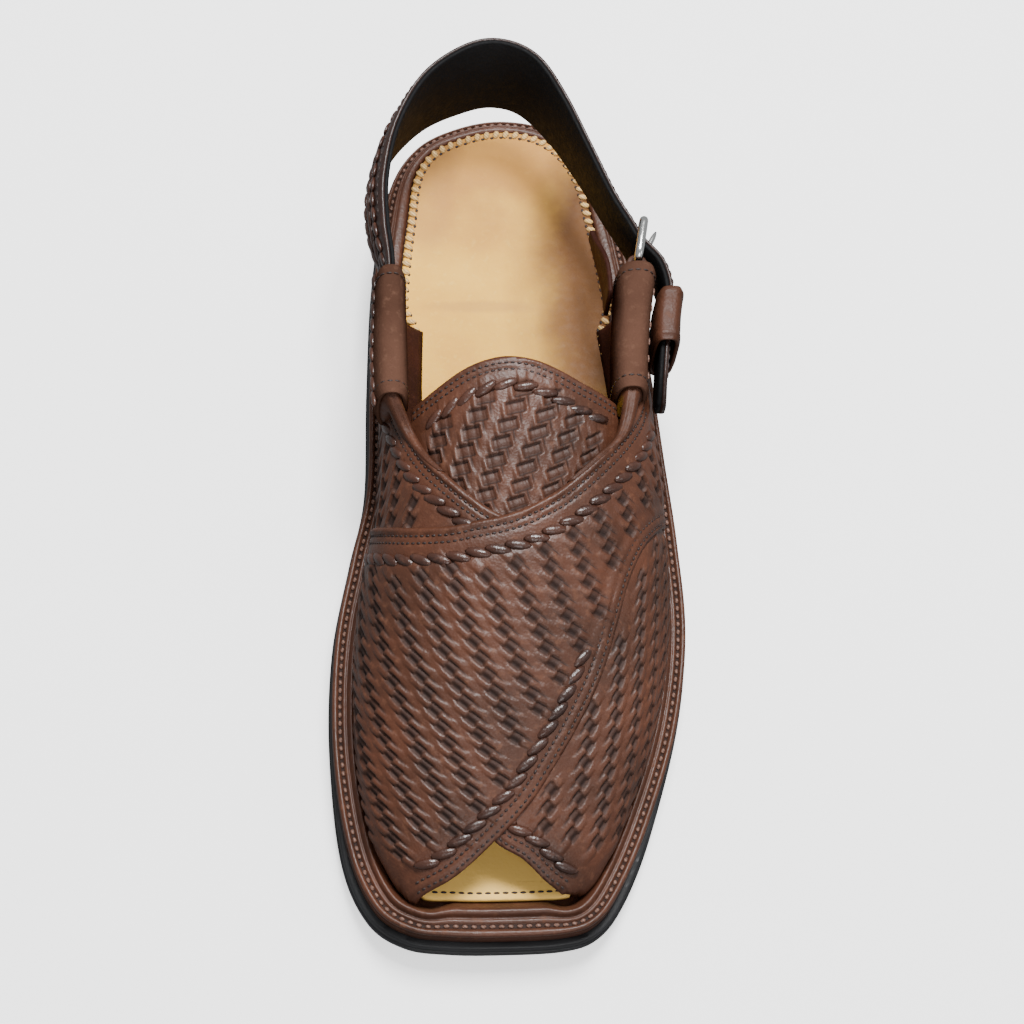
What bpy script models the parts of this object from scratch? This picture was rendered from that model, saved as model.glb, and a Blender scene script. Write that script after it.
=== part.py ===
"""Peshawari chappal for the left foot, built from the pieces its maker puts together.

The shoe stands on its sole: toe towards -Y, heel towards +Y, outer side towards +X.
Tables and sizes are in millimetres in the last's own frame. MM turns them into
metres when a piece is finished, and the whole shoe is then recentred, so that the
origin lies on the floor under the middle of its footprint.
"""
import math

import bmesh
import bpy
import numpy as np
from mathutils import Matrix

MM = 0.001

# Sole stack
GAP = 0.3
TOE_SPRING = 5.0
HEEL_LIFT = 10.5
OUTSOLE_THICKNESS = 6.7
MIDSOLE_THICKNESS = 4.0
INSOLE_THICKNESS = 2.5
SEAT = OUTSOLE_THICKNESS + GAP + MIDSOLE_THICKNESS
SPRING_START = -88.0
SHANK_START = -25.0
SHANK_END = 47.0
HEEL_BREAST = 52.0
OUTSOLE_PROUD = 1.0
TOE_PROUD = 1.6
WELT_WIDTH = 8.6
TOE_WELT_EXTRA = 2.4
HEEL_WELT_CUT = 4.0
WELT_HEIGHT = 2.3
BEAD_HEIGHT = 2.0

# Upper
LEATHER = 1.6
STRIP_BASE = 1.75
STRIP_RISE = 0.75
STRIP_PITCH = 8.0
TONGUE_PITCH = 8.0
LAYER_RISE = 1.2
LAYER_SINK = 0.4
TONGUE_DEPTH = -2.7
TONGUE_LEATHER = 1.1
BRAID_WIDTH = 2.8
BRAID_TOP = 2.8
CELL = 11.0
WALL_FOOT = 1.0

# Sleeves, strap and buckle
SLEEVE_WALL = 1.8
SLEEVE_FULLNESS = 0.75
SLEEVE_HALF_HEIGHT = 12.0
STRAP_THICKNESS = 3.0
WIRE = 2.8
FRAME_HEIGHT = 25.0
PRONG = 2.3
KEEPER_WALL = 1.6
KEEPER_LENGTH = 15.0

# Rim of the sole seen from above, from the middle of the toe round the outer side
RIM = (
    (-6, -143.3), (12, -142.6), (22, -139.2), (30, -129), (40, -108), (50.5, -78),
    (56, -46), (55.5, -14), (52, 18), (47.5, 60), (41.5, 104), (33, 126),
    (20, 139.5), (4, 143.3), (-12, 140), (-26.5, 131), (-36, 113), (-41, 80),
    (-43, 40), (-44, 5), (-49, -18), (-54.5, -48), (-55.3, -82), (-51, -114),
    (-43.5, -133), (-33.5, -140.8), (-21, -142.9),
)

# Cross-sections of the last: its edge on the insole, its widest place with the
# height of that above the seat, and its crest
LAST_COLUMNS = ("y", "edge_in", "edge_out", "wide_in", "wide_out", "wide_z", "crest_x", "crest_z")
LAST = (
    (-134, -26.0, 11.0, -26.6, 11.6, 3.0, -7.0, 22.5),
    (-129, -31.4, 18.0, -32.4, 18.6, 4.0, -6.0, 25.3),
    (-120, -36.2, 23.4, -38.2, 25.0, 6.5, -5.0, 30.2),
    (-105, -40.0, 29.6, -42.7, 31.6, 8.5, -3.5, 36.7),
    (-85, -42.5, 37.0, -45.2, 39.2, 10.0, -2.0, 43.9),
    (-60, -42.7, 42.8, -45.6, 45.2, 11.5, -2.0, 52.0),
    (-35, -39.7, 44.9, -43.2, 47.4, 13.5, -2.0, 59.6),
    (-10, -34.4, 42.9, -39.5, 46.0, 16.0, -1.5, 66.2),
    (15, -31.2, 40.0, -38.5, 43.5, 17.0, -0.5, 72.0),
    (40, -30.8, 37.3, -38.0, 41.8, 17.0, 0.0, 77.8),
    (65, -29.8, 34.5, -37.0, 40.0, 17.0, 0.0, 83.0),
)
SECTION_FULLNESS = 2.1

# Pattern lines of the two crossing panels, as they lie on the flat leather:
# the girth from the crest, positive towards the outer side, and y
TOP_FRONT = (
    (-25, -131.5), (-15, -127.5), (-5.5, -120), (4.7, -109.5), (11.4, -99), (18.9, -85.5),
    (26.3, -70.5), (31.5, -56), (36.5, -42), (44, -30), (56, -21), (68, -16.5),
)
TOP_THROAT = (
    (47, 20.5), (40.5, 9.5), (28.2, -5.5), (15, -18.5), (4.7, -25), (-3, -27.8), (-11, -29),
    (-19, -29.6), (-30.5, -27.5), (-44, -22.5), (-57, -17), (-68, -13),
)
UNDER_FRONT = (
    (18, -131.5), (12.4, -128.5), (5.1, -123), (-3.4, -118.5), (-13, -108), (-20, -97),
    (-27, -83), (-33, -67), (-38, -51), (-45, -37), (-55, -28), (-64, -24),
)
UNDER_THROAT = (
    (-45, 18.5), (-40, 12.5), (-28, -4.5), (-20, -13.5), (-11.7, -21.5), (-4.9, -26.5),
    (5, -30), (15, -30.5), (30, -27), (44, -20), (57, -13), (68, -8),
)
# Woven fields inside the smooth, stitched margins
TOP_FIELD = (
    (-31, -120), (-44, -111), (-53, -98), (-58, -85), (-63, -66), (-66.5, -48), (-69, -32),
    (-62, -28.5), (-48.5, -34), (-33, -39.5), (-14.5, -41.5), (3.5, -39), (22, -29.5),
    (37, -12), (48, 2), (59, 15), (61, 27), (63, 42), (64, 54), (76, 54), (75, 28),
    (76, 10), (76.5, -8), (65, -7.5), (51, -12.8), (37.3, -23), (28, -38), (22.5, -53),
    (10.4, -81), (-3.3, -104.5), (-12, -113), (-22, -120),
)
UNDER_FIELD = (
    (8.5, -109), (13.2, -99.5), (20.5, -86), (28, -71), (33.2, -56.5), (38.2, -42.5),
    (45.3, -31.5), (56.6, -22.8), (66, -19), (76, -19), (74.5, -35), (71, -48), (66.5, -60),
    (61, -72), (55, -85), (44, -105), (36, -115.5), (27, -121), (18, -120.5), (10.5, -116),
)
QUARTER_FIELD = (
    (-24, -21.5), (-34.5, -10), (-47, 8), (-58, 22), (-62.5, 40), (-65, 54), (-75, 54),
    (-73.5, 40), (-72, 15), (-71, -9.5), (-57.6, -15.4), (-44.6, -21), (-32, -25.4),
)
TONGUE_TOP = (
    (-37, 12.5), (-31, 13.5), (-24, 15.6), (-16, 18.6), (-8, 20.6), (-1, 21.2), (7, 20.2),
    (15, 17.8), (23, 15.2), (31, 13.6), (37, 12.5),
)
TONGUE_FOOT = ((39, 4), (37, -22), (28, -45), (12, -56), (-12, -56), (-28, -45), (-37, -22), (-39, 4))
TONGUE_FIELD = (
    (-26, 3), (-16, 9), (-7, 12), (0, 12.5), (8, 11.5), (17, 8), (26, 3), (26, -14),
    (14, -36), (0, -44), (-14, -36), (-26, -14),
)

# Sleeves: y, centre x, centre height, half width
SLEEVE_IN = ((13.5, -37.2, 53.0, 5.3), (30, -37.4, 53.0, 5.5), (45, -37.2, 53.0, 5.2), (58.5, -36.9, 53.0, 4.9))
SLEEVE_OUT = ((16.0, 36.8, 53.0, 5.6), (30, 37.6, 53.0, 5.7), (46, 39.3, 53.0, 6.0), (60.5, 41.3, 53.0, 6.7))

# Back strap: x, y and height of its middle, width, lean outwards in degrees, and
# how far its padded outer face swells
STRAP = (
    (-37.2, 21, 53.0, 17.8, 0, 0), (-37.3, 42, 53.0, 17.8, 0, 0), (-37.2, 62, 53.2, 18.6, -1, 0.2),
    (-40.0, 76, 53.8, 20.6, -9, 0.8), (-40.6, 91.5, 54.8, 23.5, -11, 1.0), (-36.4, 110, 55.4, 26.0, -8, 0.9),
    (-26.3, 126.3, 55.6, 27.2, 2, 0.6), (-13.7, 135.8, 55.6, 27.4, 12, 0.4),
    (-2, 139.6, 55.6, 27.4, 16, 0.4), (9.5, 135.6, 55.4, 26.6, 13, 0.3),
    (19, 122.5, 55.0, 24.5, 7, 0.2), (28, 104, 54.0, 21.5, 2, 0), (35, 88, 53.2, 19.0, 0, 0),
    (39.8, 78.5, 53.0, 18.0, 0, 0), (43.4, 71.0, 53.0, 18.0, 0, 0), (49.2, 63.0, 52.9, 18.0, 0, 0),
    (51.2, 53, 52.6, 18.0, 0, 0), (49.8, 43, 52.0, 18.0, 0, 0), (48.4, 31, 51.0, 17.6, 0, 0),
    (47.5, 22, 50.0, 15.5, 0, 0), (47.3, 18, 49.6, 11.5, 0, 0), (47.2, 15.5, 49.4, 6.0, 0, 0),
)

# Buckle: middle of its front and rear bars
FRONT_BAR = (41.5, 63.0)
REAR_BAR = (44.2, 77.4)
BUCKLE_HEIGHT = 53.0

COLOURS = {
    "black_rubber": ((0.012, 0.012, 0.013), 0.55, 0.0),
    "brown_leather": ((0.115, 0.050, 0.034), 0.45, 0.0),
    "woven_leather": ((0.105, 0.046, 0.032), 0.40, 0.0),
    "tan_leather": ((0.78, 0.55, 0.28), 0.60, 0.0),
    "strap_leather": ((0.060, 0.030, 0.024), 0.50, 0.0),
    "silver_metal": ((0.62, 0.62, 0.60), 0.25, 1.0),
}


# ---------------------------------------------------------------- curves and sections

def smooth_step(value):
    """0 below 0, 1 above 1, and a smooth rise between."""
    value = np.clip(value, 0.0, 1.0)
    return value * value * (3.0 - 2.0 * value)


def read_column(rows, index, at):
    """A smooth reading of one column of a table whose first column increases."""
    knots = np.array([row[0] for row in rows], float)
    values = np.array([row[index] for row in rows], float)
    slopes = np.gradient(values, knots)
    at = np.clip(np.asarray(at, float), knots[0], knots[-1])
    cell = np.clip(np.searchsorted(knots, at) - 1, 0, len(knots) - 2)
    span = knots[cell + 1] - knots[cell]
    t = (at - knots[cell]) / span
    start = values[cell] * (1 + 2 * t) * (1 - t) ** 2 + slopes[cell] * span * t * (1 - t) ** 2
    end = values[cell + 1] * t * t * (3 - 2 * t) + slopes[cell + 1] * span * t * t * (t - 1)
    return start + end


def curve_through(points, steps, closed=False):
    """Points on a smooth curve through the given ones; steps may differ per stretch."""
    points = [np.array(point, float) for point in points]
    count = len(points)
    stretches = count if closed else count - 1
    result = []
    for index in range(stretches):
        p1 = points[index]
        p2 = points[(index + 1) % count]
        p0 = points[index - 1] if closed or index else 2 * p1 - p2
        ahead = index + 2
        p3 = points[ahead % count] if closed or ahead < count else 2 * p2 - p1
        pieces = steps(p1, p2) if callable(steps) else steps
        for step in range(pieces):
            t = step / pieces
            result.append(0.5 * (2 * p1 + (p2 - p0) * t + (2 * p0 - 5 * p1 + 4 * p2 - p3) * t * t
                                 + (3 * p1 - p0 - 3 * p2 + p3) * t ** 3))
    if not closed:
        result.append(points[-1])
    return np.array(result)


def rim_steps(start, end):
    """More points round the tight toe and heel, and where the shank rises."""
    if SHANK_START < (start[1] + end[1]) / 2 < SHANK_END + 16:
        return math.ceil(math.dist(start, end) / 11.0)
    return 3 if abs(start[1] + end[1]) > 235 else 2


def inward_normals(outline):
    """Unit normals of a closed outline that runs anticlockwise, pointing inwards."""
    along = np.roll(outline, -1, 0) - np.roll(outline, 1, 0)
    along /= np.linalg.norm(along, axis=1, keepdims=True)
    return np.stack([-along[:, 1], along[:, 0]], 1)


RIM_LINE = curve_through(RIM, rim_steps, closed=True)
RIM_INWARD = inward_normals(RIM_LINE)


def inset_rim(distance):
    """The rim moved inwards by one distance, or by one for each of its points."""
    return RIM_LINE + RIM_INWARD * np.broadcast_to(np.reshape(distance, (-1, 1)), (len(RIM_LINE), 1))


def sole_lift(y):
    """Height of the sole's underside above the floor: toe spring, flat ball, raised heel."""
    spring = TOE_SPRING * np.clip((SPRING_START - y) / 56.0, 0.0, 1.1) ** 2
    return spring + HEEL_LIFT * smooth_step((y - SHANK_START) / (SHANK_END - SHANK_START))


def last_section(y):
    """All columns of the last's table at the given stations, heights made absolute."""
    values = {name: read_column(LAST, index, y) for index, name in enumerate(LAST_COLUMNS) if index}
    seat = sole_lift(y) + SEAT
    values["wide_z"] = values["wide_z"] + seat
    values["edge_z"] = seat + WALL_FOOT
    return values


def last_base(girth, y):
    """Points of the last's surface, from the girth measured from its crest and y."""
    section = last_section(y)
    outer = girth >= 0
    wide = np.where(outer, section["wide_out"], section["wide_in"]) - section["crest_x"]
    edge = np.where(outer, section["edge_out"], section["edge_in"]) - section["crest_x"]
    power = 2.0 / SECTION_FULLNESS
    turn = np.linspace(0, math.pi / 2, 28)[None, :]
    drop = np.linspace(0, 1, 8)[None, 1:]
    rise = (section["crest_z"] - section["wide_z"])[:, None]
    x_top = wide[:, None] * np.sin(turn) ** power
    z_top = section["wide_z"][:, None] + rise * np.clip(np.cos(turn), 0, 1) ** power
    x_low = wide[:, None] - (wide - edge)[:, None] * drop ** 2
    z_low = section["wide_z"][:, None] - (section["wide_z"] - section["edge_z"])[:, None] * drop
    x = np.concatenate([x_top, x_low], 1)
    z = np.concatenate([z_top, z_low], 1)
    length = np.cumsum(np.hypot(np.diff(x, axis=1), np.diff(z, axis=1)), 1)
    length = np.concatenate([np.zeros((len(length), 1)), length], 1)
    wanted = np.abs(girth)
    cell = np.clip((length < wanted[:, None]).sum(1) - 1, 0, length.shape[1] - 2)
    rows = np.arange(len(cell))
    part = (wanted - length[rows, cell]) / (length[rows, cell + 1] - length[rows, cell])
    x_at = x[rows, cell] + (x[rows, cell + 1] - x[rows, cell]) * part
    z_at = z[rows, cell] + (z[rows, cell + 1] - z[rows, cell]) * part
    return np.stack([section["crest_x"] + x_at, y, z_at], 1), length[:, -1]


def on_last(girth, y, height):
    """Pattern coordinates, and the height above the last's surface, to points in space."""
    girth = np.asarray(girth, float)
    y = np.asarray(y, float)
    step = 0.8
    base = last_base(girth, y)[0]
    across = last_base(girth + step, y)[0] - last_base(girth - step, y)[0]
    along = last_base(girth, y + step)[0] - last_base(girth, y - step)[0]
    normal = np.cross(across, along)
    normal /= np.linalg.norm(normal, axis=1, keepdims=True)
    points = base + normal * np.asarray(height, float)[:, None]
    points[:, 2] = np.maximum(points[:, 2], sole_lift(points[:, 1]) + SEAT + GAP)
    return points


def edge_girth(y, side):
    """Girth at which the last meets the insole, negative on the inner side."""
    y = np.asarray(y, float)
    return side * last_base(np.full(len(y), side * 1.0), y)[1]


def girth_at_height(y, side, height):
    """Girth at which the last's side passes a height, below its crest."""
    trial = np.linspace(2, 1, 60)[:, None] * 0.5 * edge_girth([y], side)
    points = last_base(trial[:, 0], np.full(len(trial), float(y)))[0]
    return float(np.interp(height, points[:, 2], trial[:, 0]))


# ---------------------------------------------------------------- meshes and objects

def mesh_object(name, bm):
    """Write a bmesh into a new object."""
    mesh = bpy.data.meshes.new(name)
    bmesh.ops.recalc_face_normals(bm, faces=bm.faces)
    bm.to_mesh(mesh)
    bm.free()
    item = bpy.data.objects.new(name, mesh)
    bpy.context.scene.collection.objects.link(item)
    return item


def combine(target, tool, operation):
    """Join or cut two closed meshes with an exact Boolean; the tool is used up."""
    modifier = target.modifiers.new("combine", "BOOLEAN")
    modifier.object = tool
    modifier.operation = operation
    modifier.solver = "EXACT"
    depsgraph = bpy.context.evaluated_depsgraph_get()
    mesh = bpy.data.meshes.new_from_object(target.evaluated_get(depsgraph))
    target.modifiers.clear()
    target.data = mesh
    bpy.data.objects.remove(tool)
    return target


def without_specks(item):
    """Keep only the largest skin, so that no sliver of air is left inside the wall."""
    bm = bmesh.new()
    bm.from_mesh(item.data)
    waiting = set(bm.faces)
    skins = []
    while waiting:
        skin = {waiting.pop()}
        edge_of_skin = list(skin)
        while edge_of_skin:
            face = edge_of_skin.pop()
            for edge in face.edges:
                for other in edge.link_faces:
                    if other in waiting:
                        waiting.discard(other)
                        skin.add(other)
                        edge_of_skin.append(other)
        skins.append(skin)
    largest = max(skins, key=len)
    specks = [face for skin in skins if skin is not largest for face in skin]
    bmesh.ops.delete(bm, geom=specks, context="FACES")
    bm.to_mesh(item.data)
    bm.free()
    return item


def stack_of_outlines(name, levels):
    """A closed solid through matching outlines, each with its own flat height."""
    bm = bmesh.new()
    outline, height = levels[0]
    face = bm.faces.new([bm.verts.new((x, y, height)) for x, y in outline])
    for outline, height in levels[1:]:
        region = [face] + list(face.edges) + list(face.verts)
        grown = bmesh.ops.extrude_face_region(bm, geom=region)["geom"]
        face = [item for item in grown if isinstance(item, bmesh.types.BMFace)][0]
        for vert, (x, y) in zip(face.verts, outline):
            vert.co = (x, y, height)
    return mesh_object(name, bm)


def spring_to_sole(item, stations):
    """Cut a flat piece across at the stations and raise it onto the sole's line."""
    bm = bmesh.new()
    bm.from_mesh(item.data)
    for station in stations:
        everything = bm.verts[:] + bm.edges[:] + bm.faces[:]
        bmesh.ops.bisect_plane(bm, geom=everything, plane_co=(0, station, 0), plane_no=(0, 1, 0))
    for vert in bm.verts:
        vert.co.z += float(sole_lift(vert.co.y))
    bmesh.ops.triangulate(bm, faces=bm.faces)
    bm.to_mesh(item.data)
    bm.free()
    return item


BEND_STATIONS = tuple(range(-136, -90, 11)) + tuple(range(-19, 48, 8))


def oval(angle, fullness):
    """A point of a unit oval; below 1, fullness squares it up."""
    wide = math.copysign(abs(math.cos(angle)) ** fullness, math.cos(angle))
    return wide, math.copysign(abs(math.sin(angle)) ** fullness, math.sin(angle))


def wrapped_grid(name, columns, rows, place, rows_closed=False):
    """A skin that closes round its columns; its open ends are capped."""
    bm = bmesh.new()
    steps = rows if rows_closed else rows - 1
    bmesh.ops.create_grid(bm, x_segments=columns, y_segments=steps, size=0.5)
    for vert in bm.verts:
        column = round((vert.co.x + 0.5) * columns) % columns
        row = round((vert.co.y + 0.5) * steps)
        vert.co = place(column, row % rows if rows_closed else row)
    bmesh.ops.remove_doubles(bm, verts=bm.verts, dist=0.0001)
    if not rows_closed:
        rims = [edge for edge in bm.edges if edge.is_boundary]
        bmesh.ops.holes_fill(bm, edges=rims, sides=0)
    bmesh.ops.triangulate(bm, faces=bm.faces)
    return mesh_object(name, bm)


# ---------------------------------------------------------------- sole

def sole_proud(y):
    """How far the rubber stands out past the leather rim, more at the toe."""
    return OUTSOLE_PROUD + TOE_PROUD * smooth_step((-80.0 - y) / 50.0)


def outsole():
    """Rubber sheet with a rounded tread edge and a step in its side."""
    proud = sole_proud(RIM_LINE[:, 1])
    levels = (
        (inset_rim(1.2 - proud), 0.0),
        (inset_rim(-proud), 1.0),
        (inset_rim(-proud), 3.4),
        (inset_rim(0.5 - proud), 3.7),
        (inset_rim(0.5 - proud), 6.0),
        (inset_rim(1.2 - proud), OUTSOLE_THICKNESS),
    )
    return spring_to_sole(stack_of_outlines("outsole", levels), BEND_STATIONS)


def heel():
    """Low rubber block with a straight breast, a step in its side and a flat tread."""
    def behind_breast(distance):
        line = inset_rim(distance)
        kept = line[line[:, 1] > HEEL_BREAST + 3.0]
        inner, outer = kept[-1][0], kept[0][0]
        return np.vstack([[outer + 0.7, HEEL_BREAST], kept, [inner - 0.3, HEEL_BREAST]])
    top = HEEL_LIFT - GAP
    levels = (
        (behind_breast(0.2), 0.0),
        (behind_breast(-0.8), 1.0),
        (behind_breast(-0.8), 6.2),
        (behind_breast(-0.4), 6.5),
        (behind_breast(-0.4), top),
    )
    item = stack_of_outlines("heel", levels)
    bm = bmesh.new()
    bm.from_mesh(item.data)
    bmesh.ops.triangulate(bm, faces=bm.faces)
    bm.to_mesh(item.data)
    bm.free()
    return item


def midsole():
    """Leather-covered plate with rolled edges."""
    low = OUTSOLE_THICKNESS + GAP
    levels = (
        (inset_rim(0.0), low),
        (inset_rim(0.0), SEAT - 0.9),
        (inset_rim(0.6), SEAT),
    )
    return spring_to_sole(stack_of_outlines("midsole", levels), BEND_STATIONS)


def at_toe_opening(points):
    """1 where the welt passes the open toe, 0 elsewhere."""
    middle = smooth_step((22.0 - np.abs(points[:, 0] + 6.5)) / 9.0)
    return middle * smooth_step((-125.0 - points[:, 1]) / 8.0)


def at_seat(points):
    """1 round the heel, where no upper stands on the welt, 0 along the upper."""
    return smooth_step((points[:, 1] - 61.0) / 6.0)


def welt_width(points):
    """Width of the welt at each point of the rim."""
    slim = smooth_step((points[:, 1] - 100.0) / 38.0)
    return WELT_WIDTH + TOE_WELT_EXTRA * at_toe_opening(points) - HEEL_WELT_CUT * slim


def welt():
    """Ring on the midsole's edge: rolled outside, flat top, rolled bead at the upper."""
    width = welt_width(RIM_LINE)
    bead = BEAD_HEIGHT * (1.0 - smooth_step((RIM_LINE[:, 1] - 50.0) / 12.0))
    top = np.full(len(RIM_LINE), WELT_HEIGHT)
    profile = (
        (0.04 * width, np.full(len(width), GAP)),
        (0.0 * width, 0.6 * top),
        (0.08 * width, top),
        (0.42 * width, top),
        (0.48 * width, 0.88 * top),
        (0.55 * width, top + 0.6 * bead),
        (0.68 * width, top + bead),
        (0.82 * width, top + 0.6 * bead),
        (0.90 * width, 0.6 * top),
        (0.90 * width, np.full(len(width), GAP)),
    )
    lines = [inset_rim(distance) for distance, height in profile]

    def place(column, row):
        x, y = lines[row][column]
        return (x, y, SEAT + profile[row][1][column] + float(sole_lift(y)))

    return wrapped_grid("welt", len(RIM_LINE), len(profile), place, rows_closed=True)


def insole():
    """Footbed: it reaches the welt where the welt is bare and the upper elsewhere."""
    bare = np.maximum(at_toe_opening(RIM_LINE), at_seat(RIM_LINE))
    beside_upper = LAYER_RISE + LEATHER + 4 * GAP
    edge = welt_width(RIM_LINE) + GAP + beside_upper * (1.0 - bare)
    low = SEAT + GAP
    levels = (
        (inset_rim(edge), low),
        (inset_rim(edge), low + INSOLE_THICKNESS - 0.5),
        (inset_rim(edge + 0.6), low + INSOLE_THICKNESS),
    )
    return spring_to_sole(stack_of_outlines("insole", levels), BEND_STATIONS)


# ---------------------------------------------------------------- upper

def prism(outline, low, high):
    """A straight-walled block over a pattern outline."""
    return stack_of_outlines("prism", ((outline, low), (outline, high)))


def leather_sheet(outline, low, high):
    """A flat sheet of leather cut to a pattern, with enough cells to be lasted."""
    corner = outline.min(0) - 1.0
    size = outline.max(0) - outline.min(0) + 2.0
    columns, rows = (int(math.ceil(length / CELL)) for length in size)
    bm = bmesh.new()
    bmesh.ops.create_grid(bm, x_segments=columns, y_segments=rows, size=0.5)
    for vert in bm.verts:
        vert.co = (corner[0] + (vert.co.x + 0.5) * size[0], corner[1] + (vert.co.y + 0.5) * size[1], low)
    region = bm.verts[:] + bm.edges[:] + bm.faces[:]
    grown = bmesh.ops.extrude_face_region(bm, geom=region)["geom"]
    tops = [item for item in grown if isinstance(item, bmesh.types.BMVert)]
    bmesh.ops.translate(bm, verts=tops, vec=(0, 0, high - low))
    return combine(mesh_object("sheet", bm), prism(outline, low - 1, high + 1), "INTERSECT")


def woven_field(outline, low, base, pitch, angle):
    """Raised strips side by side, each dipping under a cross strip at every third cell."""
    outline = np.array(outline, float)
    middle = (outline.min(0) + outline.max(0)) / 2
    reach = np.linalg.norm(outline.max(0) - outline.min(0)) / 2 + pitch
    strips = int(math.ceil(2 * reach / pitch))
    turn = Matrix.Rotation(angle, 4, "Z")
    bm = bmesh.new()
    bmesh.ops.create_grid(bm, x_segments=3 * strips, y_segments=strips, size=0.5)
    for vert in bm.verts:
        line = round((vert.co.x + 0.5) * 3 * strips)
        row = round((vert.co.y + 0.5) * strips)
        strip, place = divmod(line, 3)
        across = (strip + (0.0, 0.17, 0.83)[place]) * pitch - reach
        dips = (strip + row) % 3 == 0
        rise = 0.0 if place == 0 else STRIP_RISE * (0.15 if dips else 1.0)
        vert.co = (across, row * pitch - reach, base + rise)
    edges = [edge for edge in bm.edges if edge.is_boundary]
    grown = bmesh.ops.extrude_edge_only(bm, edges=edges)["geom"]
    for item in grown:
        if isinstance(item, bmesh.types.BMVert):
            item.co.z = low
    floor = [item for item in grown if isinstance(item, bmesh.types.BMEdge) and item.is_boundary]
    bmesh.ops.holes_fill(bm, edges=floor, sides=0)
    bmesh.ops.transform(bm, matrix=turn, verts=bm.verts)
    bmesh.ops.translate(bm, verts=bm.verts, vec=(middle[0], middle[1], 0))
    return combine(mesh_object("field", bm), prism(outline, low - 1, base + 3), "INTERSECT")


def braid(line, low, high):
    """A raised cord along a line of the pattern."""
    line = np.array(line, float)
    along = np.gradient(line, axis=0)
    along /= np.linalg.norm(along, axis=1, keepdims=True)
    side = np.stack([-along[:, 1], along[:, 0]], 1) * BRAID_WIDTH / 2
    outline = np.vstack([line + side, (line - side)[::-1]])
    if (np.roll(outline, -1, 0)[:, 1] * outline[:, 0] - outline[:, 1] * np.roll(outline, -1, 0)[:, 0]).sum() < 0:
        outline = outline[::-1]
    return prism(outline, low, high)


def moved_line(line, distance, start, end):
    """Part of a pattern line, shifted sideways by a distance."""
    curve = curve_through(line, 1)[start:end]
    along = np.gradient(curve, axis=0)
    along /= np.linalg.norm(along, axis=1, keepdims=True)
    return curve + np.stack([-along[:, 1], along[:, 0]], 1) * distance


def lasted(item, rise):
    """Pull a flat piece over the last, its underside at a height above the surface."""
    bm = bmesh.new()
    bm.from_mesh(item.data)
    bmesh.ops.triangulate(bm, faces=bm.faces)
    flat = np.array([vert.co for vert in bm.verts])
    for vert, point in zip(bm.verts, on_last(flat[:, 0], flat[:, 1], flat[:, 2] + rise)):
        vert.co = point
    bm.to_mesh(item.data)
    bm.free()
    return item


def edge_stretch(start, end, side):
    """Pattern points along the line where the last meets the insole."""
    count = max(2, int(abs(end - start) / CELL) + 1)
    y = np.linspace(start, end, count)
    return np.stack([edge_girth(y, side), y], 1)


def quarter_stretch(side, height, front, rear):
    """Pattern points along the underside of a sleeve, from its rear to its front."""
    y = np.linspace(rear, front, 6)
    return np.array([(girth_at_height(value, side, height), value) for value in y])


def top_panel():
    """Panel that lies on top: inner edge of the sole, over the instep, to the outer sleeve."""
    front = curve_through(TOP_FRONT, 1)
    throat = curve_through(TOP_THROAT, 1)
    foot_out = edge_stretch(-15.0, 57.0, 1)
    sleeve = quarter_stretch(1, 45.0, 20.5, 59.5)
    foot_in = edge_stretch(-12.0, -130.0, -1)
    outline = np.vstack([front, foot_out, sleeve, throat, foot_in])
    item = leather_sheet(outline, -LAYER_SINK, LEATHER)
    field = woven_field(TOP_FIELD, 0.5, STRIP_BASE, STRIP_PITCH, math.radians(45))
    item = combine(item, field, "UNION")
    item = combine(item, braid(moved_line(TOP_FRONT, 7.2, 1, 8), 0.5, BRAID_TOP), "UNION")
    item = combine(item, braid(moved_line(TOP_THROAT, 9.5, 1, 10), 0.5, BRAID_TOP), "UNION")
    return lasted(item, LAYER_RISE)


def under_panel():
    """Panel that lies beneath: outer edge of the sole, over the instep, to the inner sleeve."""
    front = curve_through(UNDER_FRONT, 1)[::-1]
    throat = curve_through(UNDER_THROAT, 1)[::-1]
    foot_out = edge_stretch(-130.0, -6.0, 1)
    sleeve = quarter_stretch(-1, 42.6, 18.5, 57.5)[::-1]
    foot_in = edge_stretch(56.0, -22.0, -1)
    outline = np.vstack([front, foot_out, throat, sleeve, foot_in])
    item = leather_sheet(outline, 0.0, LEATHER)
    field = woven_field(UNDER_FIELD, 0.5, STRIP_BASE, STRIP_PITCH, math.radians(-45))
    item = combine(item, field, "UNION")
    field = woven_field(QUARTER_FIELD, 0.5, STRIP_BASE, STRIP_PITCH, math.radians(-45))
    item = combine(item, field, "UNION")
    item = combine(item, braid(moved_line(UNDER_FRONT, -6.0, 1, 5), 0.5, BRAID_TOP), "UNION")
    return lasted(item, 0.0)


def sleeve(rows):
    """Oval leather tube along the top of a quarter, open at both ends."""
    stations = rows + rows[::-1]
    around = 16

    def place(column, row):
        y, x, z, half_width = stations[row]
        inside = row >= len(rows)
        cut = SLEEVE_WALL if inside else 0.0
        wide, tall = oval(2 * math.pi * column / around, SLEEVE_FULLNESS)
        return (x + (half_width - cut) * wide, y, z + (SLEEVE_HALF_HEIGHT - cut) * tall)

    return wrapped_grid("sleeve", around, len(stations), place, rows_closed=True)


def upper():
    """One hollow solid: the crossing woven panels, their quarters and both sleeves."""
    item = top_panel()
    item.name = "upper"
    item = combine(item, under_panel(), "UNION")
    item = combine(item, sleeve(SLEEVE_IN), "UNION")
    return without_specks(combine(item, sleeve(SLEEVE_OUT), "UNION"))


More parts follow.
